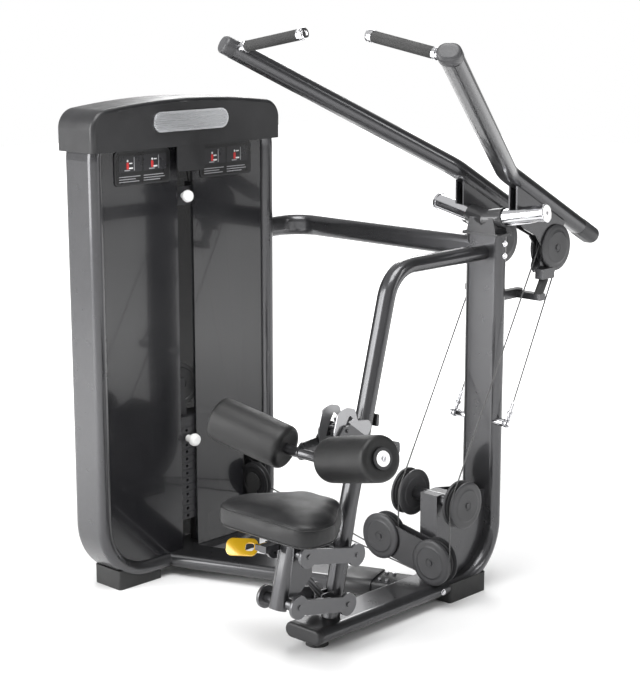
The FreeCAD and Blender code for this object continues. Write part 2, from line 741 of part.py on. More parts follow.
def arm_wheel_centre(side):
    """Centre of an arm's wheel at rest."""
    return Vector(side * CABLE_X, 362, 1140)


def anchor_point(side):
    """Where a cable enters its anchor fitting."""
    return Vector(side * CABLE_X, UPRIGHT_Y + 22, 640)


def unit_yz(y, z):
    """Unit vector in the YZ plane."""
    return Vector(0, y, z).normalize()


def front_strand(side):
    """Tangent points of the strand from the middle wheel to the arm wheel."""
    low = mid_wheel_centre(side)
    high = arm_wheel_centre(side)
    along = (high - low).normalize()
    outward = Vector(0, -along.z, along.y)
    return low + outward * GROOVE, high + outward * GROOVE, along


def rear_strand(side):
    """Tangent point on the arm wheel and direction of the strand from the anchor."""
    start = anchor_point(side)
    centre = arm_wheel_centre(side)
    gap = centre - start
    angle = math.atan2(gap.z, gap.y) - math.asin(GROOVE / gap.Length)
    along = Vector(0, math.cos(angle), math.sin(angle))
    outward = Vector(0, along.z, -along.y)
    return centre + outward * GROOVE, along


def floor_corner(side):
    """Corner of the cable route below the middle wheel, at the floor wheel."""
    return Vector(side * CABLE_X, DROP_Y, 85 if side > 0 else 124)


def exit_corner(side):
    """Corner of the cable route inside the tower, at the exit wheel."""
    if side > 0:
        return Vector(TOWER_X + 28, DROP_Y, 205)
    return Vector(TOWER_X - 28, DROP_Y + 44, 253.5)


TOP_WHEEL_Z = size("tower_top") - 97
ARM_TRAVEL = 40


def top_wheel_centre(side):
    """Centre of a wheel at the tower's top."""
    place = stack_strand_places()[0 if side > 0 else 1]
    return Vector(place.x, place.y + GROOVE, TOP_WHEEL_Z)


def diagonal_tangent(side):
    """Where the rising cable meets its top wheel."""
    start = exit_corner(side)
    centre = top_wheel_centre(side)
    gap = centre - start
    flat = Vector(0, gap.y, gap.z)
    angle = math.atan2(gap.z, gap.y) - math.asin(GROOVE / flat.Length)
    along = Vector(0, math.cos(angle), math.sin(angle))
    return centre + Vector(0, along.z, -along.y) * GROOVE


def fixed_cable(side):
    """Cable from the middle wheel round the floor, exit and top wheels."""
    drop = Vector(side * CABLE_X, DROP_Y, mid_wheel_centre(side).z)
    floor = floor_corner(side)
    leave = exit_corner(side)
    rise = diagonal_tangent(side)
    turn_one = corner_arc(drop, floor, leave, GROOVE)
    turn_two = corner_arc(floor, leave, rise, GROOVE)
    top = top_wheel_centre(side)
    down = Vector(top.x, top.y - GROOVE, TOP_WHEEL_Z)
    over = top + Z_AXIS * GROOVE
    edges = [
        Part.LineSegment(drop, turn_one[0]).toShape(),
        Part.Arc(turn_one[0], turn_one[1], turn_one[2]).toShape(),
        Part.LineSegment(turn_one[2], turn_two[0]).toShape(),
        Part.Arc(turn_two[0], turn_two[1], turn_two[2]).toShape(),
        Part.LineSegment(turn_two[2], rise).toShape(),
        Part.Arc(rise, over, down).toShape(),
    ]
    return round_pipe(Part.Wire(edges), CABLE_R)


def rear_strand_cable(side):
    """Strand from the anchor fitting up to the arm wheel."""
    tangent, along = rear_strand(side)
    return rod(CABLE_R, anchor_point(side) + along * CLEAR, tangent)


def front_strand_cable(side):
    """Strand from the middle wheel up to the arm wheel."""
    low_tangent, high_tangent, _ = front_strand(side)
    return rod(CABLE_R, low_tangent, high_tangent)


def arm_wrap_cable():
    """Cable lying in the groove of the right arm wheel; it stays there while the arm moves."""
    _, high_tangent, _ = front_strand(1)
    rear_tangent, _ = rear_strand(1)
    centre = arm_wheel_centre(1)
    swing = Rotation(X_AXIS, -ARM_TRAVEL)
    end = centre + swing.multVec(rear_tangent - centre)
    middle = centre + ((high_tangent - centre) + (rear_tangent - centre) + Z_AXIS * 20).normalize() * GROOVE
    return round_pipe(Part.Wire([Part.Arc(high_tangent, middle, end).toShape()]), CABLE_R)


def mid_wrap_cable(side):
    """Short stretch of cable that lies on the middle wheel."""
    tangent, _, _ = front_strand(side)
    centre = mid_wheel_centre(side)
    drop = Vector(side * CABLE_X, DROP_Y, centre.z)
    middle = centre + ((tangent - centre) + (drop - centre)).normalize() * GROOVE
    return round_pipe(Part.Wire([Part.Arc(tangent, middle, drop).toShape()]), CABLE_R)


def cables():
    """The steel cables as solids."""
    feature("fixed_cables", group([fixed_cable(-1), fixed_cable(1)]))
    for side, word in ((-1, "left"), (1, "right")):
        feature(word + "_rear_strand", rear_strand_cable(side))
        feature(word + "_front_strand", front_strand_cable(side))
        feature(word + "_mid_wrap", mid_wrap_cable(side))
    strands = []
    for place in stack_strand_places():
        strands.append(rod(CABLE_R, place + Z_AXIS * floating_centre().z, place + Z_AXIS * TOP_WHEEL_Z))
    feature("stack_strands", group(strands))


# --------------------------------------------------------------------------- wheels
def wheel_profile(groove):
    """Half section of a grooved wheel: axial, radial."""
    half = size("wheel_half")
    rim = groove + WHEEL_RIM - size("groove_radius")
    floor = groove - CABLE_R - CLEAR
    bore = AXLE + FIT
    return [(-half, bore), (-half, 24), (-half + 4, 28), (-half + 4, rim - 16), (-half, rim - 12),
            (-half, rim), (-half + 3, rim), (-3, floor), (3, floor), (half - 3, rim), (half, rim),
            (half, rim - 12), (half - 4, rim - 16), (half - 4, 28), (half, 24), (half, bore)]


def wheel_places():
    """Name, centre, axis and cable radius of every wheel."""
    places = []
    for side, word in ((-1, "left"), (1, "right")):
        places.append((word + "_arm_wheel", arm_wheel_centre(side), X_AXIS, GROOVE))
        places.append((word + "_mid_wheel", mid_wheel_centre(side), X_AXIS, GROOVE))
        drop = Vector(side * CABLE_X, DROP_Y, mid_wheel_centre(side).z)
        floor = floor_corner(side)
        leave = exit_corner(side)
        rise = diagonal_tangent(side)
        floor_axis = (drop - floor).cross(leave - floor).normalize()
        exit_axis = (floor - leave).cross(rise - leave).normalize()
        places.append((word + "_floor_wheel", corner_arc(drop, floor, leave, GROOVE)[3], floor_axis, GROOVE))
        places.append((word + "_exit_wheel", corner_arc(floor, leave, rise, GROOVE)[3], exit_axis, GROOVE))
        places.append((word + "_top_wheel", top_wheel_centre(side), X_AXIS, GROOVE))
    places.append(("floating_wheel", floating_centre(), floating_axis(), floating_radius()))
    return places


def wheels():
    """Grooved wheels, each turning on its own axle."""
    for name, centre, axis, groove in wheel_places():
        turned_body(name, wheel_profile(groove), axis_placement(centre, axis))


def cover_disc(centre, outward, inner_face):
    """Round cover plate beside a wheel, slightly domed, with a raised ring and a bolt."""
    radius = COVER_R
    profile = [Vector(0, 0, 0), Vector(0, radius - 2, 0), Vector(3, radius, 0), Vector(7, radius, 0),
               Vector(10, radius - 5, 0), Vector(11, radius - 24, 0), Vector(12.5, radius - 26, 0),
               Vector(12.5, 16, 0), Vector(11, 14, 0), Vector(11, 0, 0)]
    face = Part.Face(Part.makePolygon(profile + [profile[0]]))
    disc = face.revolve(Vector(0, 0, 0), X_AXIS, 360)
    head = Part.makeCylinder(9, 4, Vector(11, 0, 0), X_AXIS)
    disc = disc.fuse(head)
    disc.Placement = axis_placement(centre + outward * inner_face, outward)
    return disc


# --------------------------------------------------------------------------- pulley mounts
def pulley_post(beam_outer):
    """Folded post in the corner of the main frame, with the middle wheels' axle housing."""
    front_y = DROP_Y + 23
    top = size("mid_wheel_z") + 20
    half = 35
    wall = 6
    back_y = UPRIGHT_Y - TUBE_R
    cheek_points = [(front_y, BEAM_TOP), (front_y, top), (front_y + 80, top), (back_y, top - 30),
                    (back_y + 4, 150), (back_y - 60, BEAM_Z)]
    pieces = []
    for x in (-half, half - wall):
        cheek = slab([Vector(x, y, z) for y, z in cheek_points], wall, X_AXIS)
        pieces.append(cheek.cut(beam_outer))
    front = block(-half, half, front_y, front_y + wall, BEAM_TOP, top)
    roof = block(-half, half, front_y, front_y + 80, top - wall, top)
    centre = mid_wheel_centre(1)
    reach = CABLE_X - size("wheel_half") - 1 - 12.5
    housing = rod(22, Vector(-reach, centre.y, centre.z), Vector(reach, centre.y, centre.z))
    end = CABLE_X + size("wheel_half") + 1
    axle = rod(AXLE, Vector(-end, centre.y, centre.z), Vector(end, centre.y, centre.z))
    feature("pulley_post", fuse(pieces[0], pieces[1], front, roof, housing, axle))


def floor_wheel_housing():
    """Twin plates that carry the two floor wheels in front of the post."""
    centres = {}
    axes = []
    for name, centre, axis, _ in wheel_places():
        if name.endswith("floor_wheel"):
            centres[name] = centre
            axes.append((centre, axis * (1 if axis.y > 0 else -1)))
    left = centres["left_floor_wheel"]
    right = centres["right_floor_wheel"]
    radius = COVER_R - 1
    half = size("wheel_half") + 1
    rear_face = DROP_Y + 23
    front_face = DROP_Y - half - 4

    def dumbbell(y, thick):
        """Two discs joined by a waist."""
        lobes = []
        for centre in (left, right):
            lobes.append(Part.makeCylinder(radius, thick, Vector(centre.x, y, centre.z), Y_AXIS))
        along = Vector(right.x - left.x, 0, right.z - left.z).normalize()
        side = Vector(along.z, 0, -along.x)
        waist = 56
        spine = [Vector(left.x, y, left.z) + side * -waist, Vector(left.x, y, left.z) + side * waist,
                 Vector(right.x, y, right.z) + side * waist, Vector(right.x, y, right.z) + side * -waist]
        return fuse(lobes[0], lobes[1], slab(spine, thick, Y_AXIS))

    rear = dumbbell(rear_face - 4, 4)
    front = dumbbell(front_face, 4)
    axles = []
    spacers = []
    for centre, axis in axes:
        axles.append(rod(AXLE, centre + axis * ((front_face + 2 - centre.y) / axis.y),
                         centre + axis * ((rear_face - 2 - centre.y) / axis.y)))
    middle = (left + right) * 0.5
    for offset in (-34, 34):
        flat = Vector(middle.x + offset * 0.2, 0, middle.z + offset)
        spacers.append(rod(7, flat + Y_AXIS * (front_face + 4), flat + Y_AXIS * (rear_face - 4)))
    housing = fuse(front, rear, *axles, *spacers)

    covers = []
    for centre in (left, right):
        covers.append(cover_disc(Vector(centre.x, front_face, centre.z), Y_AXIS * -1, 0))
    for side in (-1, 1):
        place = mid_wheel_centre(side)
        for outward in (X_AXIS, X_AXIS * -1):
            covers.append(cover_disc(place, outward, size("wheel_half") + 1))
    post_axle = rod(AXLE + 0.01, mid_wheel_centre(-1), mid_wheel_centre(1))
    housing_part = rod(22, mid_wheel_centre(-1), mid_wheel_centre(1))
    trimmed = [cover.cut(post_axle).cut(housing_part.common(block(-90, 90, -200, 0, 0, 600)))
               for cover in covers]
    feature("wheel_guards", group([housing] + trimmed))


def tower_pulley_brackets(tower_outer):
    """Brackets and axles that hold the tower's exit and top wheels."""
    pieces = []
    for name, centre, axis, _ in wheel_places():
        if name.endswith("exit_wheel"):
            reach = size("wheel_half") + 1
            outward = axis * (1 if (axis.y > 0) == name.startswith("left") else -1)
            face = centre + outward * reach
            axle = rod(AXLE, centre - outward * (reach - 1), face)
            plate = rod(34, face, face + outward * 4)
            if name.startswith("left"):
                stay = rod(14, face, face + outward * 60)
                stay = stay.cut(block(-2000, 0, size("tower_back_y") - TUBE_R, 200, 0, 2000))
            else:
                down = outward.cross(X_AXIS).normalize()
                down = down * (-1 if down.z > 0 else 1)
                stay = slab([face + X_AXIS * -32, face + X_AXIS * 12, face + X_AXIS * 12 + down * 220,
                             face + X_AXIS * -32 + down * 220], 4, outward)
                stay = stay.cut(block(-2000, 0, -2000, 200, -200, BEAM_TOP + 14))
            whole = fuse(axle, plate, stay).cut(tower_outer)
            pieces.append(max(whole.Solids, key=lambda solid: solid.Volume))
        if name.endswith("top_wheel"):
            reach = size("wheel_half") + 1
            axle = rod(AXLE, centre - X_AXIS * reach, centre + X_AXIS * reach)
            hangers = []
            for side in (-1, 1):
                x = centre.x + side * reach
                pair = sorted((x, x + side * 4))
                hangers.append(block(pair[0], pair[1], centre.y - 22, centre.y + 22,
                                     centre.z - 24, size("tower_top") - TUBE_R))
            pieces.append(fuse(axle, hangers[0], hangers[1]))
    return pieces


# --------------------------------------------------------------------------- head and arms
def head():
    """Head bracket on the upright, with the two pivot shafts set into it."""
    plate = block(-80, 80, UPRIGHT_Y - 36, UPRIGHT_Y + 36, size("upright_top"), size("upright_top") + 8)
    plate = plate.makeFillet(14, [edge for edge in plate.Edges if abs(edge.BoundBox.ZLength - 8) < 0.1])
    bosses = []
    shafts = []
    boss_end = size("sleeve_start") - CLEAR - 1
    for side in (-1, 1):
        axis = pivot_axis(side)
        bosses.append(rod(33, PIVOT - axis * 6, PIVOT + axis * boss_end))
        shafts.append(rod(size("shaft_radius"), PIVOT + axis * 20, PIVOT + axis * (size("sleeve_end") + 2)))
    web = slab([Vector(x, UPRIGHT_Y - 30, z) for x, z in (
        (-62, size("upright_top")), (62, size("upright_top")), (48, PIVOT.z + 10), (-48, PIVOT.z + 10))],
        60, Y_AXIS)
    whole = fuse(plate, bosses[0], bosses[1], web, shafts[0], shafts[1])
    below = block(-300, 300, -100, 500, 0, size("upright_top"))
    feature("head_bracket", whole.cut(below))


ARM_FRONT = Vector(448, -598, 1817)
ARM_BEND = Vector(107, 121, 1405)
ARM_REAR = Vector(107, 599, 1150)
FRONT_CAP = 40
REAR_CAP = 95


def arm_tube_parts():
    """Right arm: outer tube, hollow tube, front cap and rear cap."""
    front_dir = (ARM_FRONT - ARM_BEND).normalize()
    rear_dir = (ARM_REAR - ARM_BEND).normalize()
    tube_front = ARM_FRONT - front_dir * FRONT_CAP
    tube_rear = ARM_REAR - rear_dir * REAR_CAP
    across = rear_dir.cross(Z_AXIS).cross(rear_dir)
    across = rear_dir.cross(across).normalize()
    path = route([tube_rear, ARM_BEND, tube_front], 140)
    outer, tube = flat_oval(path, size("arm_width"), size("arm_height"), size("arm_wall"), across)
    last = path.Edges[-1]
    end_up = front_dir.cross(Vector(0, 0, 1)).cross(front_dir).normalize()
    end_across = front_dir.cross(end_up).normalize()
    front_cap = cap_solid(tube_front, front_dir, end_across, FRONT_CAP)
    rear_cap = cap_solid(tube_rear, rear_dir, across, REAR_CAP)
    return outer, tube, front_cap, rear_cap


def cap_solid(start, along, across, length):
    """Rounded plastic end of an arm tube."""
    path = Part.Wire([Part.LineSegment(start, start + along * length).toShape()])
    solid = sweep(path, size("arm_width") + 1, size("arm_height") + 1, size("arm_height") / 2, across)
    end = start + along * length
    rim = [edge for edge in solid.Edges if (edge.CenterOfMass - end).dot(along) > -0.5]
    return solid.makeFillet(12, rim)


def handle_line():
    """Root and tip of the right hand grip's axis."""
    along = (ARM_FRONT - ARM_BEND).normalize()
    root = ARM_FRONT - along * 42
    tip = Vector(133, root.y, root.z + 53)
    return root, tip


def stop_block():
    """Pad on the arm's outer fork plate that rests on the rubber bumper."""
    outer = CABLE_X + size("wheel_half") + 7
    return block(outer - 1, outer + 30, 258, 322, bumper_top().z + CLEAR, bumper_top().z + 34)


def bumper_top():
    """Top centre of the right rubber bumper."""
    return Vector(CABLE_X + size("wheel_half") + 22, 286, 1046)


def right_arm_weldment():
    """Arm tube, pivot sleeve, fork plates and handle stub welded together."""
    outer, tube, _, _ = arm_tube_parts()
    axis = pivot_axis(1)
    sleeve = rod(size("sleeve_radius"), PIVOT + axis * size("sleeve_start"),
                 PIVOT + axis * size("sleeve_end"))
    centre = arm_wheel_centre(1)
    plates = []
    for side in (-1, 1):
        x = CABLE_X + side * (size("wheel_half") + 1)
        outline = [Vector(x, 150, 1400), Vector(x, 152, 1252), Vector(x, 196, 1216),
                   Vector(x, 262, 1186), Vector(x, centre.y - 62, centre.z),
                   Vector(x, 278, 1082), Vector(x, 292, 1060), Vector(x, 330, 1062),
                   Vector(x, centre.y + 40, centre.z - 26), Vector(x, centre.y + 44, centre.z + 60),
                   Vector(x, 420, 1230)]
        plates.append(slab(outline, side * 6, X_AXIS).cut(outer))
    axle = rod(AXLE, centre - X_AXIS * (size("wheel_half") + 1), centre + X_AXIS * (size("wheel_half") + 1))
    root, tip = handle_line()
    reach = (tip - root).normalize()
    handle = rod(size("grip_radius") - 4, root, tip - reach * 6).cut(outer)
    handle = max(handle.Solids, key=lambda solid: solid.Volume)
    whole = fuse(tube, sleeve, plates[0], plates[1], axle, stop_block(), handle)
    bore = rod(size("shaft_radius") + FIT, PIVOT, PIVOT + axis * 400)
    whole = whole.cut(bore)
    return max(whole.Solids, key=lambda solid: solid.Volume)


def arms():
    """Both lever arms with their grips, caps and wheel covers."""
    weld = right_arm_weldment()
    _, _, front_cap, rear_cap = arm_tube_parts()
    root, tip = handle_line()
    reach = (tip - root).normalize()
    length = (tip - root).Length
    grip = pipe_ring(size("grip_radius"), size("grip_radius") - 4, root + reach * 62, tip - reach * 16)
    collar = pipe_ring(size("grip_radius") + 1, size("grip_radius") - 4, root + reach * 50, root + reach * 62)
    knob = rod(size("grip_radius") + 2, tip - reach * 6, tip + reach * 8)
    ring = pipe_ring(size("grip_radius") + 2, size("grip_radius") - 4, tip - reach * 16, tip - reach * 6)
    axis = pivot_axis(1)
    chrome_cap = rod(size("sleeve_radius") + 2, PIVOT + axis * (size("sleeve_end") + 2 + CLEAR),
                     PIVOT + axis * (size("sleeve_end") + 11))
    collar_ring = pipe_ring(size("sleeve_radius") + 2, size("shaft_radius") + 1,
                            PIVOT + axis * size("sleeve_end"), PIVOT + axis * (size("sleeve_end") + 2 + CLEAR))
    front_cap = front_cap.cut(rod(size("grip_radius") - 4, root, tip))
    handle = group([grip, collar, knob.fuse(ring), chrome_cap.fuse(collar_ring)])
    centre = arm_wheel_centre(1)
    covers = []
    for outward in (X_AXIS, X_AXIS * -1):
        covers.append(cover_disc(centre, outward, size("wheel_half") + 7))
    covers[0] = covers[0].cut(stop_block())
    trim = group([front_cap, rear_cap, arm_wrap_cable()] + covers)
    for word, change in (("right", lambda shape: shape), ("left", mirrored)):
        feature(word + "_arm", change(weld))
        feature(word + "_handle", change(handle))
        feature(word + "_arm_trim", change(trim))


def arm_stops(beam_outer):
    """Bumper brackets with their rubber bumpers."""
    stops = []
    top = bumper_top()
    lean = Vector(0, 0.5, 0.866)
    foot = top - lean * 52
    arm = block(40, top.x + 14, foot.y - 13, foot.y + 17, foot.z - 24, foot.z - 2)
    bridge = block(40, 64, UPRIGHT_Y, foot.y + 17, foot.z - 24, foot.z + 6)
    bracket = fuse(arm, bridge).cut(beam_outer)
    rubber = rod(15, foot - lean * 12, top).cut(block(0, 300, 0, 500, 0, foot.z - 2))
    flat_top = block(0, 300, 0, 500, top.z, top.z + 60)
    rubber = rubber.cut(flat_top)
    for change in (lambda shape: shape, mirrored):
        stops.append(change(max(bracket.Solids, key=lambda solid: solid.Volume)))
        stops.append(change(rubber))
    feature("arm_stops", group(stops))


def anchor_pin():
    """Centre of the right anchor stud where the rod end sits on it."""
    _, along = rear_strand(1)
    return anchor_point(1) - along * 74


def cable_anchors():
    """Rod ends that swing on their studs and grip the cable ends."""
    _, along = rear_strand(1)
    end = anchor_point(1)
    pin = anchor_pin()
    eye = rod(15, pin - X_AXIS * 6, pin + X_AXIS * 6)
    neck = rod(6, pin + along * 8, end - along * 40)
    nut = rod(10, end - along * 44, end - along * 34)
    ferrule = rod(5.5, end - along * 36, end)
    bore = rod(8.8, pin - X_AXIS * 10, pin + X_AXIS * 10)
    fitting = fuse(eye, neck, nut, ferrule).cut(bore)
    feature("right_anchor", fitting)
    feature("left_anchor", mirrored(fitting))


def anchor_stud(beam_outer):
    """Right stud screwed into the upright, with its collar and end nut."""
    pin = anchor_pin()
    shaft = rod(8, Vector(50, pin.y, pin.z), Vector(CABLE_X + 15, pin.y, pin.z))
    collar = rod(13, Vector(50, pin.y, pin.z), Vector(CABLE_X - 8, pin.y, pin.z))
    nut = rod(12, Vector(CABLE_X + 8, pin.y, pin.z), Vector(CABLE_X + 15, pin.y, pin.z))
    stud = fuse(shaft, collar, nut).cut(beam_outer)
    return max(stud.Solids, key=lambda solid: solid.CenterOfMass.x)


# --------------------------------------------------------------------------- seat
SPRING_LUG = Vector(0, -626, 150)
SPRING_TOP = Vector(0, -724, 268)


def spring_ends():
    """Lower and upper pins of the gas spring."""
    return SPRING_LUG, SPRING_TOP


def link_plate(rear, front, x):
    """One seat link: round ends and a straight bar."""
    thick = size("link_thick")
    ends = []
    for centre in (rear, front):
        ends.append(Part.makeCylinder(36, thick, Vector(x, centre.y, centre.z), X_AXIS))
    along = (front - rear).normalize()
    side = Vector(0, along.z, -along.y) * 23.5
    bar = slab([Vector(x, 0, 0) + point for point in (
        rear + side, front + side, front - side, rear - side)], thick, X_AXIS)
    return fuse(ends[0], ends[1], bar)


def seat_links():
    """Upper and lower link pairs with their pins."""
    rear_low, rear_up, front_low, front_up = seat_pivots()
    face = size("link_face")
    thick = size("link_thick")
    for label, rear, front in (("lower_links", rear_low, front_low), ("upper_links", rear_up, front_up)):
        pieces = [link_plate(rear, front, face - thick), link_plate(rear, front, -face)]
        for place in (rear, front):
            pieces.append(rod(size("pin_radius"), place - X_AXIS * (face + 4), place + X_AXIS * (face + 4)))
        feature(label, fuse(pieces[0], *pieces[1:]))


def seat_carriage():
    """Seat post with hubs, side gussets and the plate under the pad."""
    _, _, front_low, front_up = seat_pivots()
    hub_end = size("link_face") - size("link_thick") - CLEAR
    lean = (front_up - front_low).normalize()
    post_start = front_low - lean * 20 + Vector(0, -14, 0)
    post_top = post_start + lean * ((size("seat_bottom") - 6 - post_start.z) / lean.z)
    _, post = flat_oval(Part.Wire([Part.LineSegment(post_start, post_top + lean * 10).toShape()]),
                        60, 40, 3, X_AXIS)
    plate_z0 = size("seat_bottom") - 6
    post = post.cut(block(-200, 200, -1200, 0, plate_z0, 600))
    hubs = []
    for place in (front_low, front_up):
        hubs.append(rod(18, place - X_AXIS * hub_end, place + X_AXIS * hub_end))
    gussets = []
    for x in (-34, 28):
        gussets.append(slab([
            Vector(x, front_low.y - 6, front_low.z + 24), Vector(x, front_low.y + 44, front_low.z + 26),
            Vector(x, SPRING_TOP.y + 22, SPRING_TOP.z - 22), Vector(x, SPRING_TOP.y + 22, SPRING_TOP.z + 16),
            Vector(x, front_up.y + 36, front_up.z + 16), Vector(x, front_up.y + 44, plate_z0),
            Vector(x, front_up.y - 20, plate_z0), Vector(x, front_up.y - 24, front_up.z)], 6, X_AXIS))
    base = block(-110, 110, size("seat_back_y") + 60, size("seat_nose_y") - 50, plate_z0, plate_z0 + 6)
    base = base.makeFillet(20, [edge for edge in base.Edges if abs(edge.BoundBox.ZLength - 6) < 0.1])
    lever_mount = block(-51, -22, LEVER_HINGE.y - 24, LEVER_HINGE.y + 40, 334, 356)
    ears = []
    for side in (-1, 1):
        y_pair = sorted((LEVER_HINGE.y + side * 18.5, LEVER_HINGE.y + side * 24))
        ears.append(block(LEVER_HINGE.x - 7, -45, y_pair[0], y_pair[1], 336, 354))
    lever_pin = rod(3, LEVER_HINGE - Y_AXIS * 24, LEVER_HINGE + Y_AXIS * 24)
    whole = fuse(post, hubs[0], hubs[1], gussets[0], gussets[1], base, lever_mount, ears[0], ears[1],
                 lever_pin)
    for place in (front_low, front_up):
        whole = whole.cut(rod(size("pin_radius") + FIT, place - X_AXIS * 100, place + X_AXIS * 100))
    top_pin = rod(6, SPRING_TOP - X_AXIS * 28, SPRING_TOP + X_AXIS * 28)
    feature("seat_carriage", fuse(max(whole.Solids, key=lambda solid: solid.Volume), top_pin))


def seat_pad():
    """Plain closed solid of the seat pad: wide at the back, a blunt nose in front."""
    half = size("seat_width") / 2
    back = size("seat_back_y")
    nose = size("seat_nose_y")
    z0 = size("seat_bottom")
    outline = [Vector(-half, back, z0), Vector(half, back, z0), Vector(half, back + 120, z0),
               Vector(72, nose, z0), Vector(-72, nose, z0), Vector(-half, back + 120, z0)]
    wire = route(outline, [60, 60, 90, 45, 45, 90], closed=True)
    pad = Part.Face(wire).extrude(Z_AXIS * size("seat_thick"))
    upper = [edge for edge in pad.Edges if edge.BoundBox.ZMin > z0 + size("seat_thick") - 1]
    feature("seat_pad", pad.makeFillet(22, upper))


def gas_spring():
    """Seat gas spring: the cylinder on the frame lug and the rod on the seat."""
    low, high = spring_ends()
    along = (high - low).normalize()
    length = (high - low).Length
    body = pipe_ring(11, 9, low + along * 16, low + along * (length - 48))
    base = rod(11, low + along * 8, low + along * 17)
    eye = rod(12, low - X_AXIS * 9, low + X_AXIS * 9)
    pin = rod(6, low - X_AXIS * 20, low + X_AXIS * 20)
    feature("gas_cylinder", fuse(base, body, eye, pin))
    stem = rod(5, low + along * 50, high - along * 9)
    tip = rod(11, high - X_AXIS * 8, high + X_AXIS * 8)
    bore = rod(6 + FIT, high - X_AXIS * 20, high + X_AXIS * 20)
    feature("gas_rod", fuse(stem, tip).cut(bore))


def release_lever():
    """Yellow loop that frees the gas spring, hinged on the seat carriage."""
    hinge = LEVER_HINGE
    reach = Vector(-0.79, -0.61, 0)
    side = Z_AXIS.cross(reach) * 0.766 - Z_AXIS * 0.643
    face = reach.cross(side) * -1
    middle = hinge + reach * 62 - Z_AXIS * 4
    loop = Part.Face(rounded_outline(96, 58, 20, middle, reach, side)).extrude(face * 7)
    window = Part.Face(rounded_outline(26, 30, 9, middle - reach * 24 - face, reach, side))
    loop = loop.cut(window.extrude(face * 20))
    neck = rod(6, hinge, hinge + reach * 22 - Z_AXIS * 2)
    loop = loop.fuse(neck)
    hub = rod(8, hinge + Y_AXIS * -18, hinge + Y_AXIS * 18)
    bore = rod(3 + FIT, hinge + Y_AXIS * -30, hinge + Y_AXIS * 30)
    feature("release_lever", fuse(loop, hub).cut(bore))


LEVER_HINGE = Vector(-62, -818, 345)


# --------------------------------------------------------------------------- thigh pads
BAR_INNER = Vector(70, -676, 609)
BAR_OUTER = Vector(340, -732, 677)
SLOT_PIN = Vector(0, -556, 670)


def pad_axis():
    """Direction of the right roller's axis, outwards."""
    return (BAR_OUTER - BAR_INNER).normalize()


def thigh_arm():
    """Two cheek plates round the front tube, the bent roller bar and the end discs."""
    pivot = Vector(0, size("pad_pivot_y"), size("pad_pivot_z"))
    inner_face = size("front_tube_width") / 2 + 7
    pieces = []
    for side in (-1, 1):
        x = side * inner_face
        outline = [Vector(x, pivot.y + 20, pivot.z - 18), Vector(x, pivot.y + 20, pivot.z + 20),
                   Vector(x, -470, 636), Vector(x, SLOT_PIN.y + 18, SLOT_PIN.z + 15),
                   Vector(x, SLOT_PIN.y - 16, SLOT_PIN.z + 15), Vector(x, -604, 646),
                   Vector(x, -672, 640), Vector(x, -700, 612), Vector(x, -676, 586),
                   Vector(x, -520, 590), Vector(x, -430, 556)]
        pieces.append(slab(outline, side * 7, X_AXIS, 12))
    bar_path = route([Vector(-BAR_OUTER.x, BAR_OUTER.y, BAR_OUTER.z),
                      Vector(-BAR_INNER.x, BAR_INNER.y, BAR_INNER.z), BAR_INNER, BAR_OUTER], 55)
    bar = round_pipe(bar_path, size("bar_radius"))
    pivot_bolt = rod(size("pin_radius"), pivot - X_AXIS * 52, pivot + X_AXIS * 52)
    slot_pin = rod(6, SLOT_PIN - X_AXIS * 50, SLOT_PIN + X_AXIS * 50)
    weld = fuse(pieces[0], pieces[1], bar, pivot_bolt, slot_pin)
    discs = []
    for change in (lambda shape: shape, mirrored):
        outward = pad_axis()
        discs.append(change(rod(32, BAR_OUTER, BAR_OUTER + outward * 5)))
    feature("thigh_arm", group([weld] + discs))


def thigh_rollers():
    """Foam rollers, each a thick sleeve that turns on the bar."""
    outward = pad_axis()
    start = BAR_INNER + outward * 22
    end = BAR_OUTER - outward * 0.5
    roller = rod(size("pad_radius"), start, end)
    ends = [edge for edge in roller.Edges if edge.Length > 200 and len(edge.Vertexes) == 1]
    roller = roller.makeFillet(20, ends)
    roller = roller.cut(rod(size("bar_radius") + CLEAR, start - outward * 5, end + outward * 5))
    feature("right_thigh_roller", roller)
    feature("left_thigh_roller", mirrored(roller))


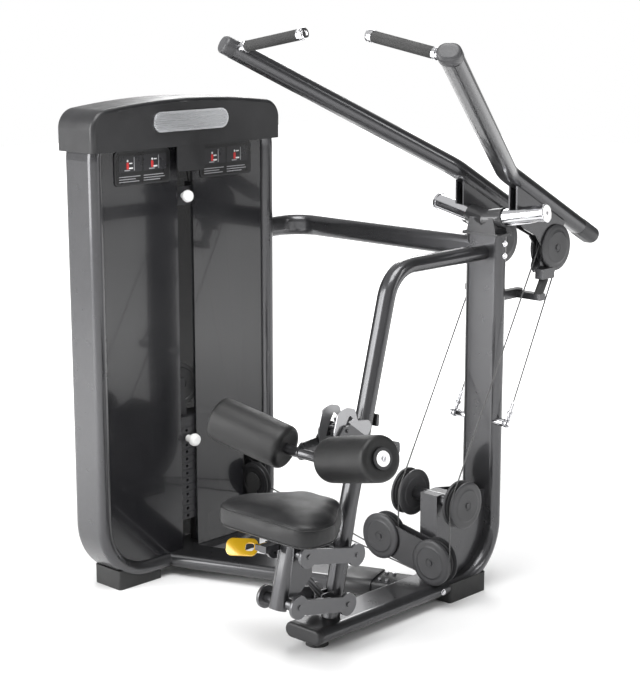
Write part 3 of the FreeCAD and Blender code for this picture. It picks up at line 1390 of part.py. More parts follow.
def pad_adjuster(front_outer):
    """Notched plates on the front tube and the hinge lugs behind it."""
    pivot = Vector(0, size("pad_pivot_y"), size("pad_pivot_z"))
    radius = (SLOT_PIN - pivot).Length
    rest = math.degrees(math.atan2(SLOT_PIN.z - pivot.z, SLOT_PIN.y - pivot.y))
    half = size("front_tube_width") / 2
    pieces = []

    def around(angle, distance, x):
        """Point on a circle about the pad pivot."""
        turn = math.radians(angle)
        return Vector(x, pivot.y + distance * math.cos(turn), pivot.z + distance * math.sin(turn))

    for side in (-1, 1):
        x = side * half
        outline = [Vector(x, front_tube_y(632) - 10, 634), Vector(x, SLOT_PIN.y - 40, 626),
                   Vector(x, SLOT_PIN.y - 46, 668), Vector(x, SLOT_PIN.y - 30, 722),
                   Vector(x, SLOT_PIN.y + 14, 730), Vector(x, SLOT_PIN.y + 34, 694),
                   Vector(x, front_tube_y(680) - 4, 684), Vector(x, front_tube_y(680) + 10, 664)]
        plate = slab(outline, side * 5, X_AXIS, 8)
        band = Part.Wire([
            Part.Arc(around(rest - 11, radius - 7, x), around(rest, radius - 7, x),
                     around(rest + 7, radius - 7, x)).toShape(),
            Part.LineSegment(around(rest + 7, radius - 7, x), around(rest + 7, radius + 7, x)).toShape(),
            Part.Arc(around(rest + 7, radius + 7, x), around(rest, radius + 7, x),
                     around(rest - 11, radius + 7, x)).toShape(),
            Part.LineSegment(around(rest - 11, radius + 7, x), around(rest - 11, radius - 7, x)).toShape(),
        ])
        slot = Part.Face(band).extrude(X_AXIS * side * 5)
        plate = plate.cut(slot)
        for angle in (rest - 9.5, rest - 4.7, rest, rest + 5):
            notch = Part.makeCylinder(7, 5, around(angle, radius - 9, x), X_AXIS * side)
            plate = plate.cut(notch)
        pieces.append(plate)
        lug = slab([Vector(x, front_tube_y(600) - 6, 606), Vector(x, front_tube_y(540) - 6, 540),
                    Vector(x, pivot.y + 16, pivot.z - 18), Vector(x, pivot.y + 16, pivot.z + 18)],
                   side * 5, X_AXIS, 8)
        lug = lug.cut(rod(size("pin_radius") + FIT, pivot - X_AXIS * 60, pivot + X_AXIS * 60))
        pieces.append(lug)
    clip_y = front_tube_y(672) + size("front_tube_depth") / 2
    clip = block(-half, half, clip_y - 3, clip_y + 14, 652, 692).cut(front_outer)
    pieces.append(max(clip.Solids, key=lambda solid: solid.Volume))
    feature("pad_adjuster", group(pieces))


# --------------------------------------------------------------------------- fasteners
def frame_fasteners(beam_outer):
    """Dome-headed bolts on the outside of the frame, and the two cable studs."""
    stud = anchor_stud(beam_outer)
    bolts = [stud, mirrored(stud)]
    side_x = size("tube_width") / 2
    for y, z in ((UPRIGHT_Y, 1168), (UPRIGHT_Y, 1128), (-129, BEAM_Z)):
        for side in (-1, 1):
            if side < 0 and y == UPRIGHT_Y:
                continue
            start = Vector(side * side_x, y, z)
            washer = rod(10, start, start + X_AXIS * side * 2)
            dome = rod(7, start + X_AXIS * side * 2, start + X_AXIS * side * 7)
            bolts.append(fuse(washer, dome))
    feature("frame_fasteners", group(bolts))


def build():
    """Make every sub-part."""
    beam_outer, tower_outer = frame_tubes()
    front_outer = front_tube(beam_outer)
    top_link_tube(beam_outer, tower_outer)
    crossbeam(beam_outer, tower_outer)
    feet(beam_outer, tower_outer)
    tower_cap()
    shields(tower_outer)
    weight_stack(tower_outer)
    selector_pin()
    add_on_weight()
    cables()
    wheels()
    pulley_post(beam_outer)
    floor_wheel_housing()
    head()
    arms()
    arm_stops(beam_outer)
    cable_anchors()
    seat_links()
    seat_carriage()
    seat_pad()
    gas_spring()
    release_lever()
    thigh_arm()
    thigh_rollers()
    pad_adjuster(front_outer)
    frame_fasteners(beam_outer)


def export():
    """Check every object, then write one STEP file per sub-part."""
    doc.recompute()
    for obj in doc.Objects:
        if "Invalid" in obj.State or "Error" in obj.State:
            raise RuntimeError("%s is %s" % (obj.Label, obj.State))
    for obj in parts:
        if obj.Shape.isNull() or not obj.Shape.isValid() or not obj.Shape.Solids:
            raise RuntimeError("%s has no valid solid" % obj.Label)
    os.makedirs("parts", exist_ok=True)
    for obj in parts:
        obj.Shape.exportStep("parts/%s.step" % obj.Label)
        print(obj.Label, len(obj.Shape.Solids), round(obj.Shape.Volume / 1000.0, 1))
    print(len(parts), "nodes")


build()
export()
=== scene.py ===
"""Looks for the lat pulldown machine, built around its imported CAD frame."""
import math

import bmesh
import bpy
from mathutils import Matrix, Vector


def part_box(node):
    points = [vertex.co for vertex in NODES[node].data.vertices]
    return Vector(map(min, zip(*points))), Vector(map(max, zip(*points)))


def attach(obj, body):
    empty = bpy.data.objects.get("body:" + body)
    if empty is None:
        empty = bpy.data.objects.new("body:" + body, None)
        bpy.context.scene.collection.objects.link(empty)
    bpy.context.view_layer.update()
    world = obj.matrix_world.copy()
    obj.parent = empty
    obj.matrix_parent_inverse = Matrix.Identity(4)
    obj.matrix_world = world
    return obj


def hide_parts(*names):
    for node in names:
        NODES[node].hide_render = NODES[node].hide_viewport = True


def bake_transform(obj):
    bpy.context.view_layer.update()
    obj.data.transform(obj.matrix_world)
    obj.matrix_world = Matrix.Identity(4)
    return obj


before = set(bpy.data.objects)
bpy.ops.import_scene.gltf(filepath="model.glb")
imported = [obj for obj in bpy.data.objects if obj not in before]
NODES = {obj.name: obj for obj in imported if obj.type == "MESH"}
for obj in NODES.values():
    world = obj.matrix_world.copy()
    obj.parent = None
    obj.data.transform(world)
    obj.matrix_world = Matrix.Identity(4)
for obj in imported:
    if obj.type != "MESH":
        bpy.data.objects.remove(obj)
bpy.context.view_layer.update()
SCENE = bpy.context.scene


# ---------------------------------------------------------------- materials
def new_material(name, colour, roughness=0.5, metallic=0.0, coat=0.0, coat_roughness=0.1,
                 specular=0.5, sheen=0.0, alpha=1.0):
    """Principled material with its constants set on the shader's sockets."""
    mat = bpy.data.materials.new(name)
    mat.use_nodes = True
    shader = mat.node_tree.nodes["Principled BSDF"]
    shader.inputs["Base Color"].default_value = (*colour, 1)
    shader.inputs["Roughness"].default_value = roughness
    shader.inputs["Metallic"].default_value = metallic
    shader.inputs["Coat Weight"].default_value = coat
    shader.inputs["Coat Roughness"].default_value = coat_roughness
    shader.inputs["Specular IOR Level"].default_value = specular
    shader.inputs["Sheen Weight"].default_value = sheen
    shader.inputs["Alpha"].default_value = alpha
    return mat


def add_node(mat, kind, **values):
    """Shader node with some of its inputs or properties set."""
    node = mat.node_tree.nodes.new(kind)
    for key, value in values.items():
        if hasattr(node, key):
            setattr(node, key, value)
        else:
            node.inputs[key.replace("_", " ")].default_value = value
    return node


def link(mat, source, target):
    """Join two sockets."""
    mat.node_tree.links.new(source, target)


def object_coords(mat, scale=(1, 1, 1)):
    """Object-space coordinates, stretched."""
    coords = add_node(mat, "ShaderNodeTexCoord")
    mapping = add_node(mat, "ShaderNodeMapping")
    mapping.inputs["Scale"].default_value = scale
    link(mat, coords.outputs["Object"], mapping.inputs["Vector"])
    return mapping.outputs["Vector"]


def noise(mat, scale, detail=4.0, stretch=(1, 1, 1)):
    """Noise value in object space."""
    node = add_node(mat, "ShaderNodeTexNoise", Scale=scale, Detail=detail)
    link(mat, object_coords(mat, stretch), node.inputs["Vector"])
    return node.outputs["Fac"]


def ramp(mat, value, stops):
    """Colour ramp through (position, grey or rgb) stops."""
    node = add_node(mat, "ShaderNodeValToRGB")
    elements = node.color_ramp.elements
    while len(elements) < len(stops):
        elements.new(0.5)
    for element, (place, colour) in zip(elements, stops):
        element.position = place
        rgb = colour if isinstance(colour, tuple) else (colour, colour, colour)
        element.color = (*rgb, 1)
    link(mat, value, node.inputs["Fac"])
    return node.outputs["Color"]


def bump(mat, *layers):
    """Chain of bump layers, each (height socket, strength, distance)."""
    normal = None
    for height, strength, distance in layers:
        node = add_node(mat, "ShaderNodeBump", Strength=strength, Distance=distance)
        link(mat, height, node.inputs["Height"])
        if normal is not None:
            link(mat, normal, node.inputs["Normal"])
        normal = node.outputs["Normal"]
    link(mat, normal, mat.node_tree.nodes["Principled BSDF"].inputs["Normal"])


def colour_in(mat, socket):
    """Drive the base colour."""
    link(mat, socket, mat.node_tree.nodes["Principled BSDF"].inputs["Base Color"])


def roughness_in(mat, socket):
    """Drive the roughness."""
    link(mat, socket, mat.node_tree.nodes["Principled BSDF"].inputs["Roughness"])


def paint(name, dark, light, roughness=0.3, metallic=0.55):
    """Metallic powder coat under clear lacquer: flakes, soft mottling and fine orange peel."""
    mat = new_material(name, dark, roughness, metallic, coat=0.6, coat_roughness=0.08)
    flakes = add_node(mat, "ShaderNodeTexVoronoi", Scale=1400.0)
    link(mat, object_coords(mat), flakes.inputs["Vector"])
    sparkle = ramp(mat, flakes.outputs["Distance"], [(0.0, light), (0.45, dark), (1.0, dark)])
    mottle = ramp(mat, noise(mat, 9.0), [(0.3, (0.93,) * 3), (0.75, (1.0,) * 3)])
    mix = add_node(mat, "ShaderNodeMix", data_type="RGBA", blend_type="MULTIPLY")
    mix.inputs["Factor"].default_value = 1.0
    link(mat, sparkle, mix.inputs["A"])
    link(mat, mottle, mix.inputs["B"])
    colour_in(mat, mix.outputs["Result"])
    roughness_in(mat, ramp(mat, noise(mat, 26.0),
                           [(0.3, roughness - 0.03), (0.8, roughness + 0.03)]))
    bump(mat, (noise(mat, 420.0, 2.0), 0.05, 0.001))
    return mat


def moulded(name, colour, roughness=0.5, grain=900.0, strength=0.22):
    """Moulded plastic: spark-eroded grain, slight colour drift and handling shine."""
    mat = new_material(name, colour, roughness)
    light = tuple(min(1, c * 1.5 + 0.004) for c in colour)
    colour_in(mat, ramp(mat, noise(mat, 6.0), [(0.35, colour), (0.75, light)]))
    roughness_in(mat, ramp(mat, noise(mat, 14.0),
                           [(0.3, roughness - 0.08), (0.75, roughness + 0.1)]))
    bump(mat, (noise(mat, grain, 3.0), strength, 0.0006))
    return mat


def leather(name, colour, scale=520.0):
    """Upholstery vinyl: fine cells, creases and a soft sheen."""
    mat = new_material(name, colour, 0.42, sheen=0.04, specular=0.36)
    cells = add_node(mat, "ShaderNodeTexVoronoi", feature="DISTANCE_TO_EDGE", Scale=scale)
    link(mat, object_coords(mat), cells.inputs["Vector"])
    grain = ramp(mat, cells.outputs["Distance"], [(0.0, 0.0), (0.12, 1.0)])
    light = tuple(c * 1.6 + 0.001 for c in colour)
    colour_in(mat, ramp(mat, noise(mat, 11.0), [(0.3, colour), (0.8, light)]))
    roughness_in(mat, ramp(mat, noise(mat, 20.0), [(0.3, 0.34), (0.8, 0.52)]))
    bump(mat, (grain, 0.25, 0.0004), (noise(mat, 60.0, 5.0), 0.12, 0.002))
    return mat


def chrome(name, roughness=0.08, colour=(0.78, 0.78, 0.8)):
    """Polished plating with faint haze and hairlines."""
    mat = new_material(name, colour, roughness, 1.0)
    roughness_in(mat, ramp(mat, noise(mat, 40.0), [(0.3, roughness), (0.9, roughness + 0.12)]))
    bump(mat, (noise(mat, 700.0, 2.0, (1, 12, 1)), 0.03, 0.0004))
    return mat


FRAME = paint("frame_paint", (0.05, 0.05, 0.053), (0.17, 0.17, 0.18), 0.3, 0.75)
DARK = paint("dark_paint", (0.035, 0.035, 0.037), (0.1, 0.1, 0.1), 0.36, 0.6)
GREY = paint("grey_paint", (0.075, 0.075, 0.08), (0.24, 0.24, 0.25), 0.34)
LIGHT_GREY = paint("light_paint", (0.3, 0.3, 0.31), (0.5, 0.5, 0.5), 0.3, 0.7)
CAP = moulded("cap_plastic", (0.009, 0.009, 0.010), 0.4, 1100.0, 0.12)
COVER = moulded("cover_plastic", (0.030, 0.030, 0.032), 0.44, 900.0, 0.16)
BLACK = moulded("black_plastic", (0.013, 0.013, 0.014), 0.46)
RUBBER = moulded("foot_rubber", (0.016, 0.016, 0.016), 0.66, 600.0, 0.35)
VINYL = leather("seat_vinyl", (0.005, 0.005, 0.0055))
FOAM = leather("roller_foam", (0.005, 0.005, 0.0052), 760.0)
CHROME = chrome("chrome")
STEEL = chrome("zinc_steel", 0.24, (0.55, 0.55, 0.57))
PLATE = moulded("plate_coat", (0.015, 0.015, 0.017), 0.42, 500.0, 0.3)
WHITE = moulded("white_knob", (0.82, 0.82, 0.8), 0.3, 1200.0, 0.05)
YELLOW = paint("yellow_lever", (0.72, 0.42, 0.012), (0.95, 0.66, 0.05), 0.3, 0.1)
GRIP = moulded("grip_rubber", (0.015, 0.015, 0.015), 0.62, 900.0, 0.4)


def smoked():
    """Smoked acrylic: see-through a little, glossy, with faint drag lines."""
    mat = new_material("smoked_panel", (0.012, 0.012, 0.014), 0.14, coat=0.5, coat_roughness=0.04,
                       alpha=0.86)
    roughness_in(mat, ramp(mat, noise(mat, 3.0, 3.0, (1, 1, 0.3)), [(0.3, 0.1), (0.8, 0.24)]))
    colour_in(mat, ramp(mat, noise(mat, 2.0),
                        [(0.3, (0.009, 0.009, 0.011)), (0.8, (0.02, 0.02, 0.022))]))
    bump(mat, (noise(mat, 5.0, 2.0), 0.02, 0.004))
    return mat


SMOKED = smoked()


def rope():
    """Sheathed wire rope: the lay of its strands shows as a fine slanted ripple, with painted shade
    in its grooves and painted highlight on its ridges.
    """
    mat = new_material("cable_sheath", (0.05, 0.05, 0.052), 0.35, coat=0.4)
    wave = add_node(mat, "ShaderNodeTexWave", wave_type="BANDS", bands_direction="DIAGONAL")
    wave.inputs["Scale"].default_value = 260.0
    link(mat, object_coords(mat), wave.inputs["Vector"])
    # painted shade and highlight: the colour follows the strand ripple, darker in the grooves and
    # lighter on the ridges
    colour_in(mat, ramp(mat, wave.outputs["Fac"], [(0.2, 0.03), (0.9, 0.11)]))
    bump(mat, (wave.outputs["Fac"], 0.4, 0.0006))
    return mat


CABLE = rope()


def brushed(name, colour):
    """Brushed silver with long fine scratches along Y."""
    mat = new_material(name, colour, 0.3, 1.0)
    lines = noise(mat, 160.0, 4.0, (1, 0.04, 3))
    roughness_in(mat, ramp(mat, lines, [(0.3, 0.22), (0.75, 0.42)]))
    bump(mat, (lines, 0.12, 0.0005))
    return mat


SILVER = brushed("badge_silver", (0.74, 0.75, 0.77))
SILVER_DARK = brushed("badge_face", (0.6, 0.61, 0.63))


# ---------------------------------------------------------------- carried-over CAD nodes
def islands(obj):
    """Loose pieces of a mesh as (low corner, high corner, face indices)."""
    mesh = obj.data
    key_of = {}
    parent = []

    def find(index):
        while parent[index] != index:
            parent[index] = parent[parent[index]]
            index = parent[index]
        return index

    ids = []
    for vertex in mesh.vertices:
        key = tuple(round(c * 20000) for c in vertex.co)
        if key not in key_of:
            key_of[key] = len(parent)
            parent.append(len(parent))
        ids.append(key_of[key])
    for face in mesh.polygons:
        first = find(ids[face.vertices[0]])
        for corner in face.vertices[1:]:
            parent[find(ids[corner])] = first
    groups = {}
    for face in mesh.polygons:
        groups.setdefault(find(ids[face.vertices[0]]), []).append(face.index)
    found = []
    for faces in groups.values():
        points = [mesh.vertices[v].co for f in faces for v in mesh.polygons[f].vertices]
        low = Vector([min(p[i] for p in points) for i in range(3)])
        high = Vector([max(p[i] for p in points) for i in range(3)])
        found.append((low, high, faces))
    return found


def dress(node, material, rules=(), bevel=0.0012):
    """Materials for a CAD node; rules are (test of an island's box, material)."""
    obj = NODES[node]
    obj.data.materials.clear()
    obj.data.materials.append(material)
    for face in obj.data.polygons:
        face.material_index = 0
    if rules:
        found = islands(obj)
        for test, other in rules:
            obj.data.materials.append(other)
            index = len(obj.data.materials) - 1
            for low, high, faces in found:
                if test(low, high):
                    for f in faces:
                        obj.data.polygons[f].material_index = index
    if bevel:
        weld = obj.modifiers.new("weld", "WELD")
        weld.merge_threshold = 0.00002
        edge = obj.modifiers.new("edge", "BEVEL")
        edge.width = bevel
        edge.segments = 2
        edge.limit_method = "ANGLE"
        edge.angle_limit = math.radians(40)
        edge.harden_normals = True
        edge.use_clamp_overlap = True
    return obj


def size_of(low, high):
    """Longest side of a box."""
    return max(high - low)


for name in ("main_frame", "tower_loop", "front_tube", "top_link_tube", "crossbeam",
             "left_arm", "right_arm"):
    dress(name, FRAME, bevel=0)
dress("head_bracket", DARK)
dress("pulley_post", FRAME)
dress("thigh_arm", FRAME, [(lambda lo, hi: size_of(lo, hi) < 0.08, BLACK)])
dress("seat_carriage", FRAME)
dress("lower_links", GREY)
dress("upper_links", GREY)
dress("pad_adjuster", LIGHT_GREY, bevel=0.0006)
dress("crossbeam_joint", BLACK, [(lambda lo, hi: size_of(lo, hi) < 0.03, STEEL)])
dress("feet_and_end_cap", RUBBER,
      [(lambda lo, hi: hi.y < -0.68 and hi.x < 0.2 and lo.x > -0.2, BLACK)], 0.003)
dress("tower_cap", CAP)
dress("tower_plaques", BLACK, [(lambda lo, hi: lo.z > 1.5, SILVER)])
dress("tower_shields", SMOKED, bevel=0)
dress("stack_guides", CHROME,
      [(lambda lo, hi: hi.z < 0.3, RUBBER),
       (lambda lo, hi: size_of(lo, hi) < 0.15 and hi.z > 0.3, GREY)])
dress("resting_plates", PLATE)
dress("lifted_plates", PLATE)
dress("lift_carriage", PLATE, [(lambda lo, hi: hi.z - lo.z < 0.1, CABLE)])
dress("add_on_weight", PLATE)
dress("add_on_knob", WHITE)
dress("selector_pin", WHITE)
dress("wheel_guards", COVER)
dress("arm_stops", FRAME, [(lambda lo, hi: size_of(lo, hi) < 0.075, RUBBER)])
dress("frame_fasteners", CHROME, bevel=0.0005)
dress("release_lever", YELLOW)
dress("gas_cylinder", FRAME)
dress("gas_rod", CHROME)
dress("fixed_cables", CABLE, bevel=0)
for side in ("left", "right"):
    dress(side + "_arm_trim", COVER, [(lambda lo, hi: hi.x - lo.x < 0.01, CABLE)])
    dress(side + "_anchor", STEEL, bevel=0.0005)
    dress(side + "_mid_wrap", CABLE, bevel=0)
    for kind in ("arm", "mid", "floor", "exit", "top"):
        dress(side + "_" + kind + "_wheel", BLACK)
dress("floating_wheel", BLACK)


# ---------------------------------------------------------------- mesh helpers
def mesh_object(name, verts, faces, material, body, smooth=True):
    """Mesh object that rides on a body."""
    mesh = bpy.data.meshes.new(name)
    mesh.from_pydata([tuple(v) for v in verts], [], faces)
    mesh.update()
    obj = bpy.data.objects.new(name, mesh)
    SCENE.collection.objects.link(obj)
    obj.data.materials.append(material)
    if smooth:
        for face in mesh.polygons:
            face.use_smooth = True
    if body:
        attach(obj, body)
    return obj


def lathe(name, profile, start, axis, material, body, steps=64, sharp=35):
    """Turned piece: (along, radius) pairs about an axis, in metres."""
    axis = Vector(axis).normalized()
    start = Vector(start)
    side = axis.orthogonal().normalized()
    up = axis.cross(side)
    verts = []
    faces = []
    for along, radius in profile:
        for k in range(steps):
            turn = 2 * math.pi * k / steps
            spoke = side * math.cos(turn) + up * math.sin(turn)
            verts.append(start + axis * along + spoke * radius)
    rows = len(profile)
    for r in range(rows - 1):
        for k in range(steps):
            n = (k + 1) % steps
            faces.append((r * steps + k, r * steps + n, (r + 1) * steps + n, (r + 1) * steps + k))
    if profile[0][1] > 1e-6:
        faces.append(tuple(reversed(range(steps))))
    if profile[-1][1] > 1e-6:
        faces.append(tuple((rows - 1) * steps + k for k in range(steps)))
    obj = mesh_object(name, verts, faces, material, body)
    obj.data.set_sharp_from_angle(angle=math.radians(sharp))
    return obj


def tube_mesh(name, points, radius, material, steps=12):
    """Round cable along points, as a mesh with no parent."""
    verts = []
    faces = []
    for index, point in enumerate(points):
        ahead = points[min(index + 1, len(points) - 1)] - points[max(index - 1, 0)]
        ahead.normalize()
        side = ahead.cross(Vector((1, 0, 0))).normalized()
        up = ahead.cross(side)
        for k in range(steps):
            turn = 2 * math.pi * k / steps
            verts.append(point + (side * math.cos(turn) + up * math.sin(turn)) * radius)
    for r in range(len(points) - 1):
        for k in range(steps):
            n = (k + 1) % steps
            faces.append((r * steps + k, r * steps + n, (r + 1) * steps + n, (r + 1) * steps + k))
    return mesh_object(name, verts, faces, material, None)


# ---------------------------------------------------------------- straight cables
CABLE_RADIUS = 0.0025
STRAND_STEPS = 24


def strand(name, node, low, high):
    """Straight strand between two fixed points, as a mesh with no parent."""
    points = [low.lerp(high, k / STRAND_STEPS) for k in range(STRAND_STEPS + 1)]
    obj = tube_mesh(name, points, CABLE_RADIUS, CABLE)
    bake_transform(obj)
    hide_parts(node)
    return obj


def ends_of(node):
    """Lower and upper centre of a straight slanted strand, from its box."""
    low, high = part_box(node)
    mid_x = (low.x + high.x) / 2
    return Vector((mid_x, low.y, low.z)), Vector((mid_x, high.y, high.z))


SLANT_INSET = Vector((0, 0.0022, 0.0011))
for side in ("left", "right"):
    for place, lower_body in (("rear", "anchor"), ("front", "mid_wrap")):
        node = side + "_" + place + "_strand"
        low, high = ends_of(node)
        strand(side + "_" + place + "_cable", node,
               low + SLANT_INSET, high - SLANT_INSET)

low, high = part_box("stack_strands")
for word, x, y in (("left", low.x + CABLE_RADIUS, low.y + CABLE_RADIUS),
                   ("right", high.x - CABLE_RADIUS, high.y - CABLE_RADIUS)):
    strand(word + "_stack_cable", "stack_strands",
           Vector((x, y, low.z)), Vector((x, y, high.z)))


# ---------------------------------------------------------------- seat pad
SHOULDER = 0.12
SEAT_CENTRE = 0.15


def rounded_outline(points, radii, step=0.006):
    """Closed outline with rounded corners, sampled evenly."""
    count = len(points)
    line = []
    for i in range(count):
        before, corner, after = points[i - 1], points[i], points[(i + 1) % count]
        back = (before - corner).normalized()
        ahead = (after - corner).normalized()
        half = back.angle(ahead) / 2
        reach = radii[i] / math.tan(half)
        centre = corner + (back + ahead).normalized() * (radii[i] / math.sin(half))
        start = corner + back * reach
        end = corner + ahead * reach
        a = start - centre
        b = end - centre
        total = a.angle(b)
        for k in range(9):
            turn = total * k / 8
            sign = 1 if a.x * b.y - a.y * b.x > 0 else -1
            line.append(centre + Matrix.Rotation(sign * turn, 2) @ a)
    full = []
    for i, here in enumerate(line):
        there = line[(i + 1) % len(line)]
        steps = max(1, int((there - here).length / step))
        full += [here.lerp(there, k / steps) for k in range(steps)]
    return full


def seat_outline(shrink=0.0):
    """Plan of the seat pad: wide back, blunt nose."""
    low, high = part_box("seat_pad")
    half = high.x - shrink
    back = low.y + shrink
    nose = high.y - shrink
    half_nose = 0.072
    points = [Vector((-half, back)), Vector((half, back)), Vector((half, back + SHOULDER)),
              Vector((half_nose, nose)), Vector((-half_nose, nose)),
              Vector((-half, back + SHOULDER))]
    return rounded_outline(points, [0.06, 0.06, 0.09, 0.045, 0.045, 0.09])


def rings_object(name, rings, material, body):
    """Closed body through stacked rings of equal count, capped by centre fans."""
    count = len(rings[0])
    verts = [p for ring in rings for p in ring]
    faces = []
    for r in range(len(rings) - 1):
        for k in range(count):
            n = (k + 1) % count
            faces.append((r * count + k, r * count + n, (r + 1) * count + n, (r + 1) * count + k))
    for ring_index, order in ((0, -1), (len(rings) - 1, 1)):
        ring = rings[ring_index]
        centre = sum(ring, Vector()) / count
        verts.append(centre)
        tip = len(verts) - 1
        for k in range(count):
            n = (k + 1) % count
            a = ring_index * count + k
            b = ring_index * count + n
            faces.append((a, b, tip) if order > 0 else (b, a, tip))
    return mesh_object(name, verts, faces, material, body)


def inset_ring(outline, centre, share, z):
    """Outline shrunk towards a centre, at a height."""
    return [Vector((centre.x + (p.x - centre.x) * share,
                    centre.y + (p.y - centre.y) * share, z)) for p in outline]


def simulate(obj, cap, pressure=4.0, frames=20, pinned=None):
    """Blow the pad up as sewn cloth, cap each point's travel, and keep the result."""
    remesh = obj.modifiers.new("remesh", "REMESH")
    remesh.mode = "VOXEL"
    remesh.voxel_size = 0.006
    bpy.context.view_layer.objects.active = obj
    bpy.ops.object.modifier_apply(modifier="remesh")
    start = [v.co.copy() for v in obj.data.vertices]
    floor = min(p.z for p in start)
    if pinned:
        group = obj.vertex_groups.new(name="pin")
        for index, point in enumerate(start):
            if pinned(point, floor):
                group.add([index], 1.0, "REPLACE")
    cloth = obj.modifiers.new("cloth", "CLOTH")
    cloth.settings.effector_weights.gravity = 0
    cloth.settings.use_pressure = True
    cloth.settings.uniform_pressure_force = pressure
    cloth.settings.tension_stiffness = 25
    cloth.settings.compression_stiffness = 25
    cloth.settings.shear_stiffness = 15
    cloth.settings.bending_stiffness = 2
    if pinned:
        cloth.settings.vertex_group_mass = "pin"
    cloth.point_cache.frame_start = 1
    cloth.point_cache.frame_end = frames
    for number in range(1, frames + 1):
        SCENE.frame_set(number)
    depsgraph = bpy.context.evaluated_depsgraph_get()
    posed = obj.evaluated_get(depsgraph)
    moved = [v.co.copy() for v in posed.data.vertices]
    obj.modifiers.remove(cloth)
    for vertex, here, there in zip(obj.data.vertices, start, moved):
        step = there - here
        if step.length > cap:
            step *= cap / step.length
        vertex.co = here + step
    SCENE.frame_set(1)


def seat_pad():
    """Upholstered seat: flat board underneath, welted side band and a crowned top."""
    low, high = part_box("seat_pad")
    base = seat_outline(0.012)
    centre = Vector((0, low.y + SEAT_CENTRE))
    z0 = low.z + 0.001
    top = high.z
    levels = [(0.55, z0), (0.9, z0), (0.985, z0 + 0.003), (1.0, z0 + 0.012), (1.0, z0 + 0.03),
              (1.0, top - 0.03), (0.985, top - 0.014), (0.95, top - 0.006), (0.85, top - 0.001),
              (0.6, top + 0.001), (0.3, top + 0.002)]
    rings = [inset_ring(base, centre, share, z) for share, z in levels]
    pad = rings_object("seat_cushion", rings, VINYL, None)
    simulate(pad, 0.005, 1.5, pinned=lambda p, floor: p.z < floor + 0.006)
    smooth = pad.modifiers.new("smooth", "SMOOTH")
    smooth.factor = 0.6
    smooth.iterations = 24
    bpy.context.view_layer.objects.active = pad
    bpy.ops.object.modifier_apply(modifier="smooth")
    crown = max(v.co.z for v in pad.data.vertices)
    limit = high.z + 0.008
    for vertex in pad.data.vertices:
        share = max(0.0, (vertex.co.z - z0) / (crown - z0))
        vertex.co.z = z0 + (limit - z0) * share
    for face in pad.data.polygons:
        face.use_smooth = True
    subdivide = pad.modifiers.new("subdivide", "SUBSURF")
    subdivide.levels = 1
    subdivide.render_levels = 1
    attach(pad, "seat")
    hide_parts("seat_pad")
    return pad


seat = seat_pad()


def seam_around(name, obj, height, offset, radius, material, stitches=False):
    """Welt or stitches laid on a pad's skin at a height, found by rays from outside."""
    depsgraph = bpy.context.evaluated_depsgraph_get()
    outline = seat_outline(-0.01)
    centre = Vector((0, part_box("seat_pad")[0].y + SEAT_CENTRE, height))
    world = obj.matrix_world
    inverse = world.inverted()
    points = []
    for p in outline:
        edge = Vector((p.x, p.y, height))
        start = edge + (edge - centre).normalized() * 0.05
        aim = (inverse.to_3x3() @ (centre - start)).normalized()
        hit, place, normal, _ = obj.evaluated_get(depsgraph).ray_cast(inverse @ start, aim)
        if hit:
            points.append(world @ place + (world.to_3x3() @ normal).normalized() * offset)
    curve = bpy.data.curves.new(name, "CURVE")
    curve.dimensions = "3D"
    curve.bevel_depth = radius
    curve.bevel_resolution = 3
    if stitches:
        for index in range(0, len(points) - 1, 2):
            line = curve.splines.new("POLY")
            line.points.add(1)
            a = points[index]
            b = a.lerp(points[index + 1], 0.75)
            line.points[0].co = (*a, 1)
            line.points[1].co = (*b, 1)
    else:
        line = curve.splines.new("POLY")
        line.points.add(len(points) - 1)
        for index, point in enumerate(points):
            line.points[index].co = (*point, 1)
        line.use_cyclic_u = True
    piece = bpy.data.objects.new(name, curve)
    SCENE.collection.objects.link(piece)
    curve.materials.append(material)
    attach(piece, "seat")


bpy.context.view_layer.update()
low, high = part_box("seat_pad")
THREAD = leather("thread", (0.03, 0.03, 0.032), 900.0)
seam_around("seat_welt_low", seat, low.z + 0.012, 0.0005, 0.0022, VINYL)
seam_around("seat_welt_high", seat, high.z - 0.02, 0.0002, 0.0022, VINYL)
seam_around("seat_stitches", seat, high.z - 0.012, 0.0003, 0.0005, THREAD, stitches=True)


# ---------------------------------------------------------------- thigh rollers
ROLLER_INNER = Vector((0.070, -0.676, 0.609))
ROLLER_OUTER = Vector((0.340, -0.732, 0.677))


def flipped(point, sign):
    """Point mirrored to the left side when sign is -1."""
    return Vector((point.x * sign, point.y, point.z))


def sign_of(side):
    """-1 on the left, 1 on the right."""
    return -1 if side == "left" else 1


def roller_axis(side):
    """Outward direction of a roller's bar."""
    return flipped(ROLLER_OUTER - ROLLER_INNER, sign_of(side)).normalized()


def roller_pad(side):
    """Foam roller: a shallow dish at each end, rounded rims and a slightly crowned barrel."""
    a = 0.022
    b = (ROLLER_OUTER - ROLLER_INNER).length - 0.0005
    rim = [(0.0012, 0.058), (0.0035, 0.0635), (0.008, 0.0672), (0.015, 0.0690)]
    profile = [(a + 0.004, 0.0165), (a + 0.0035, 0.030), (a + 0.001, 0.050)]
    profile += [(a + depth, radius) for depth, radius in rim]
    for k in range(13):
        t = k / 12
        crown = 0.0008 * math.sin(math.pi * t)
        profile.append((a + 0.024 + (b - a - 0.048) * t, 0.0692 + crown))
    profile += [(b - depth, radius) for depth, radius in reversed(rim)]
    profile += [(b - 0.001, 0.050), (b - 0.0035, 0.033), (b - 0.004, 0.0165)]
    inner = flipped(ROLLER_INNER, sign_of(side))
    roller = lathe(side + "_roller_pad", profile, inner, roller_axis(side), FOAM,
                   side + "_thigh_roller", 96, 60)
    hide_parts(side + "_thigh_roller")


for side in ("left", "right"):
    roller_pad(side)


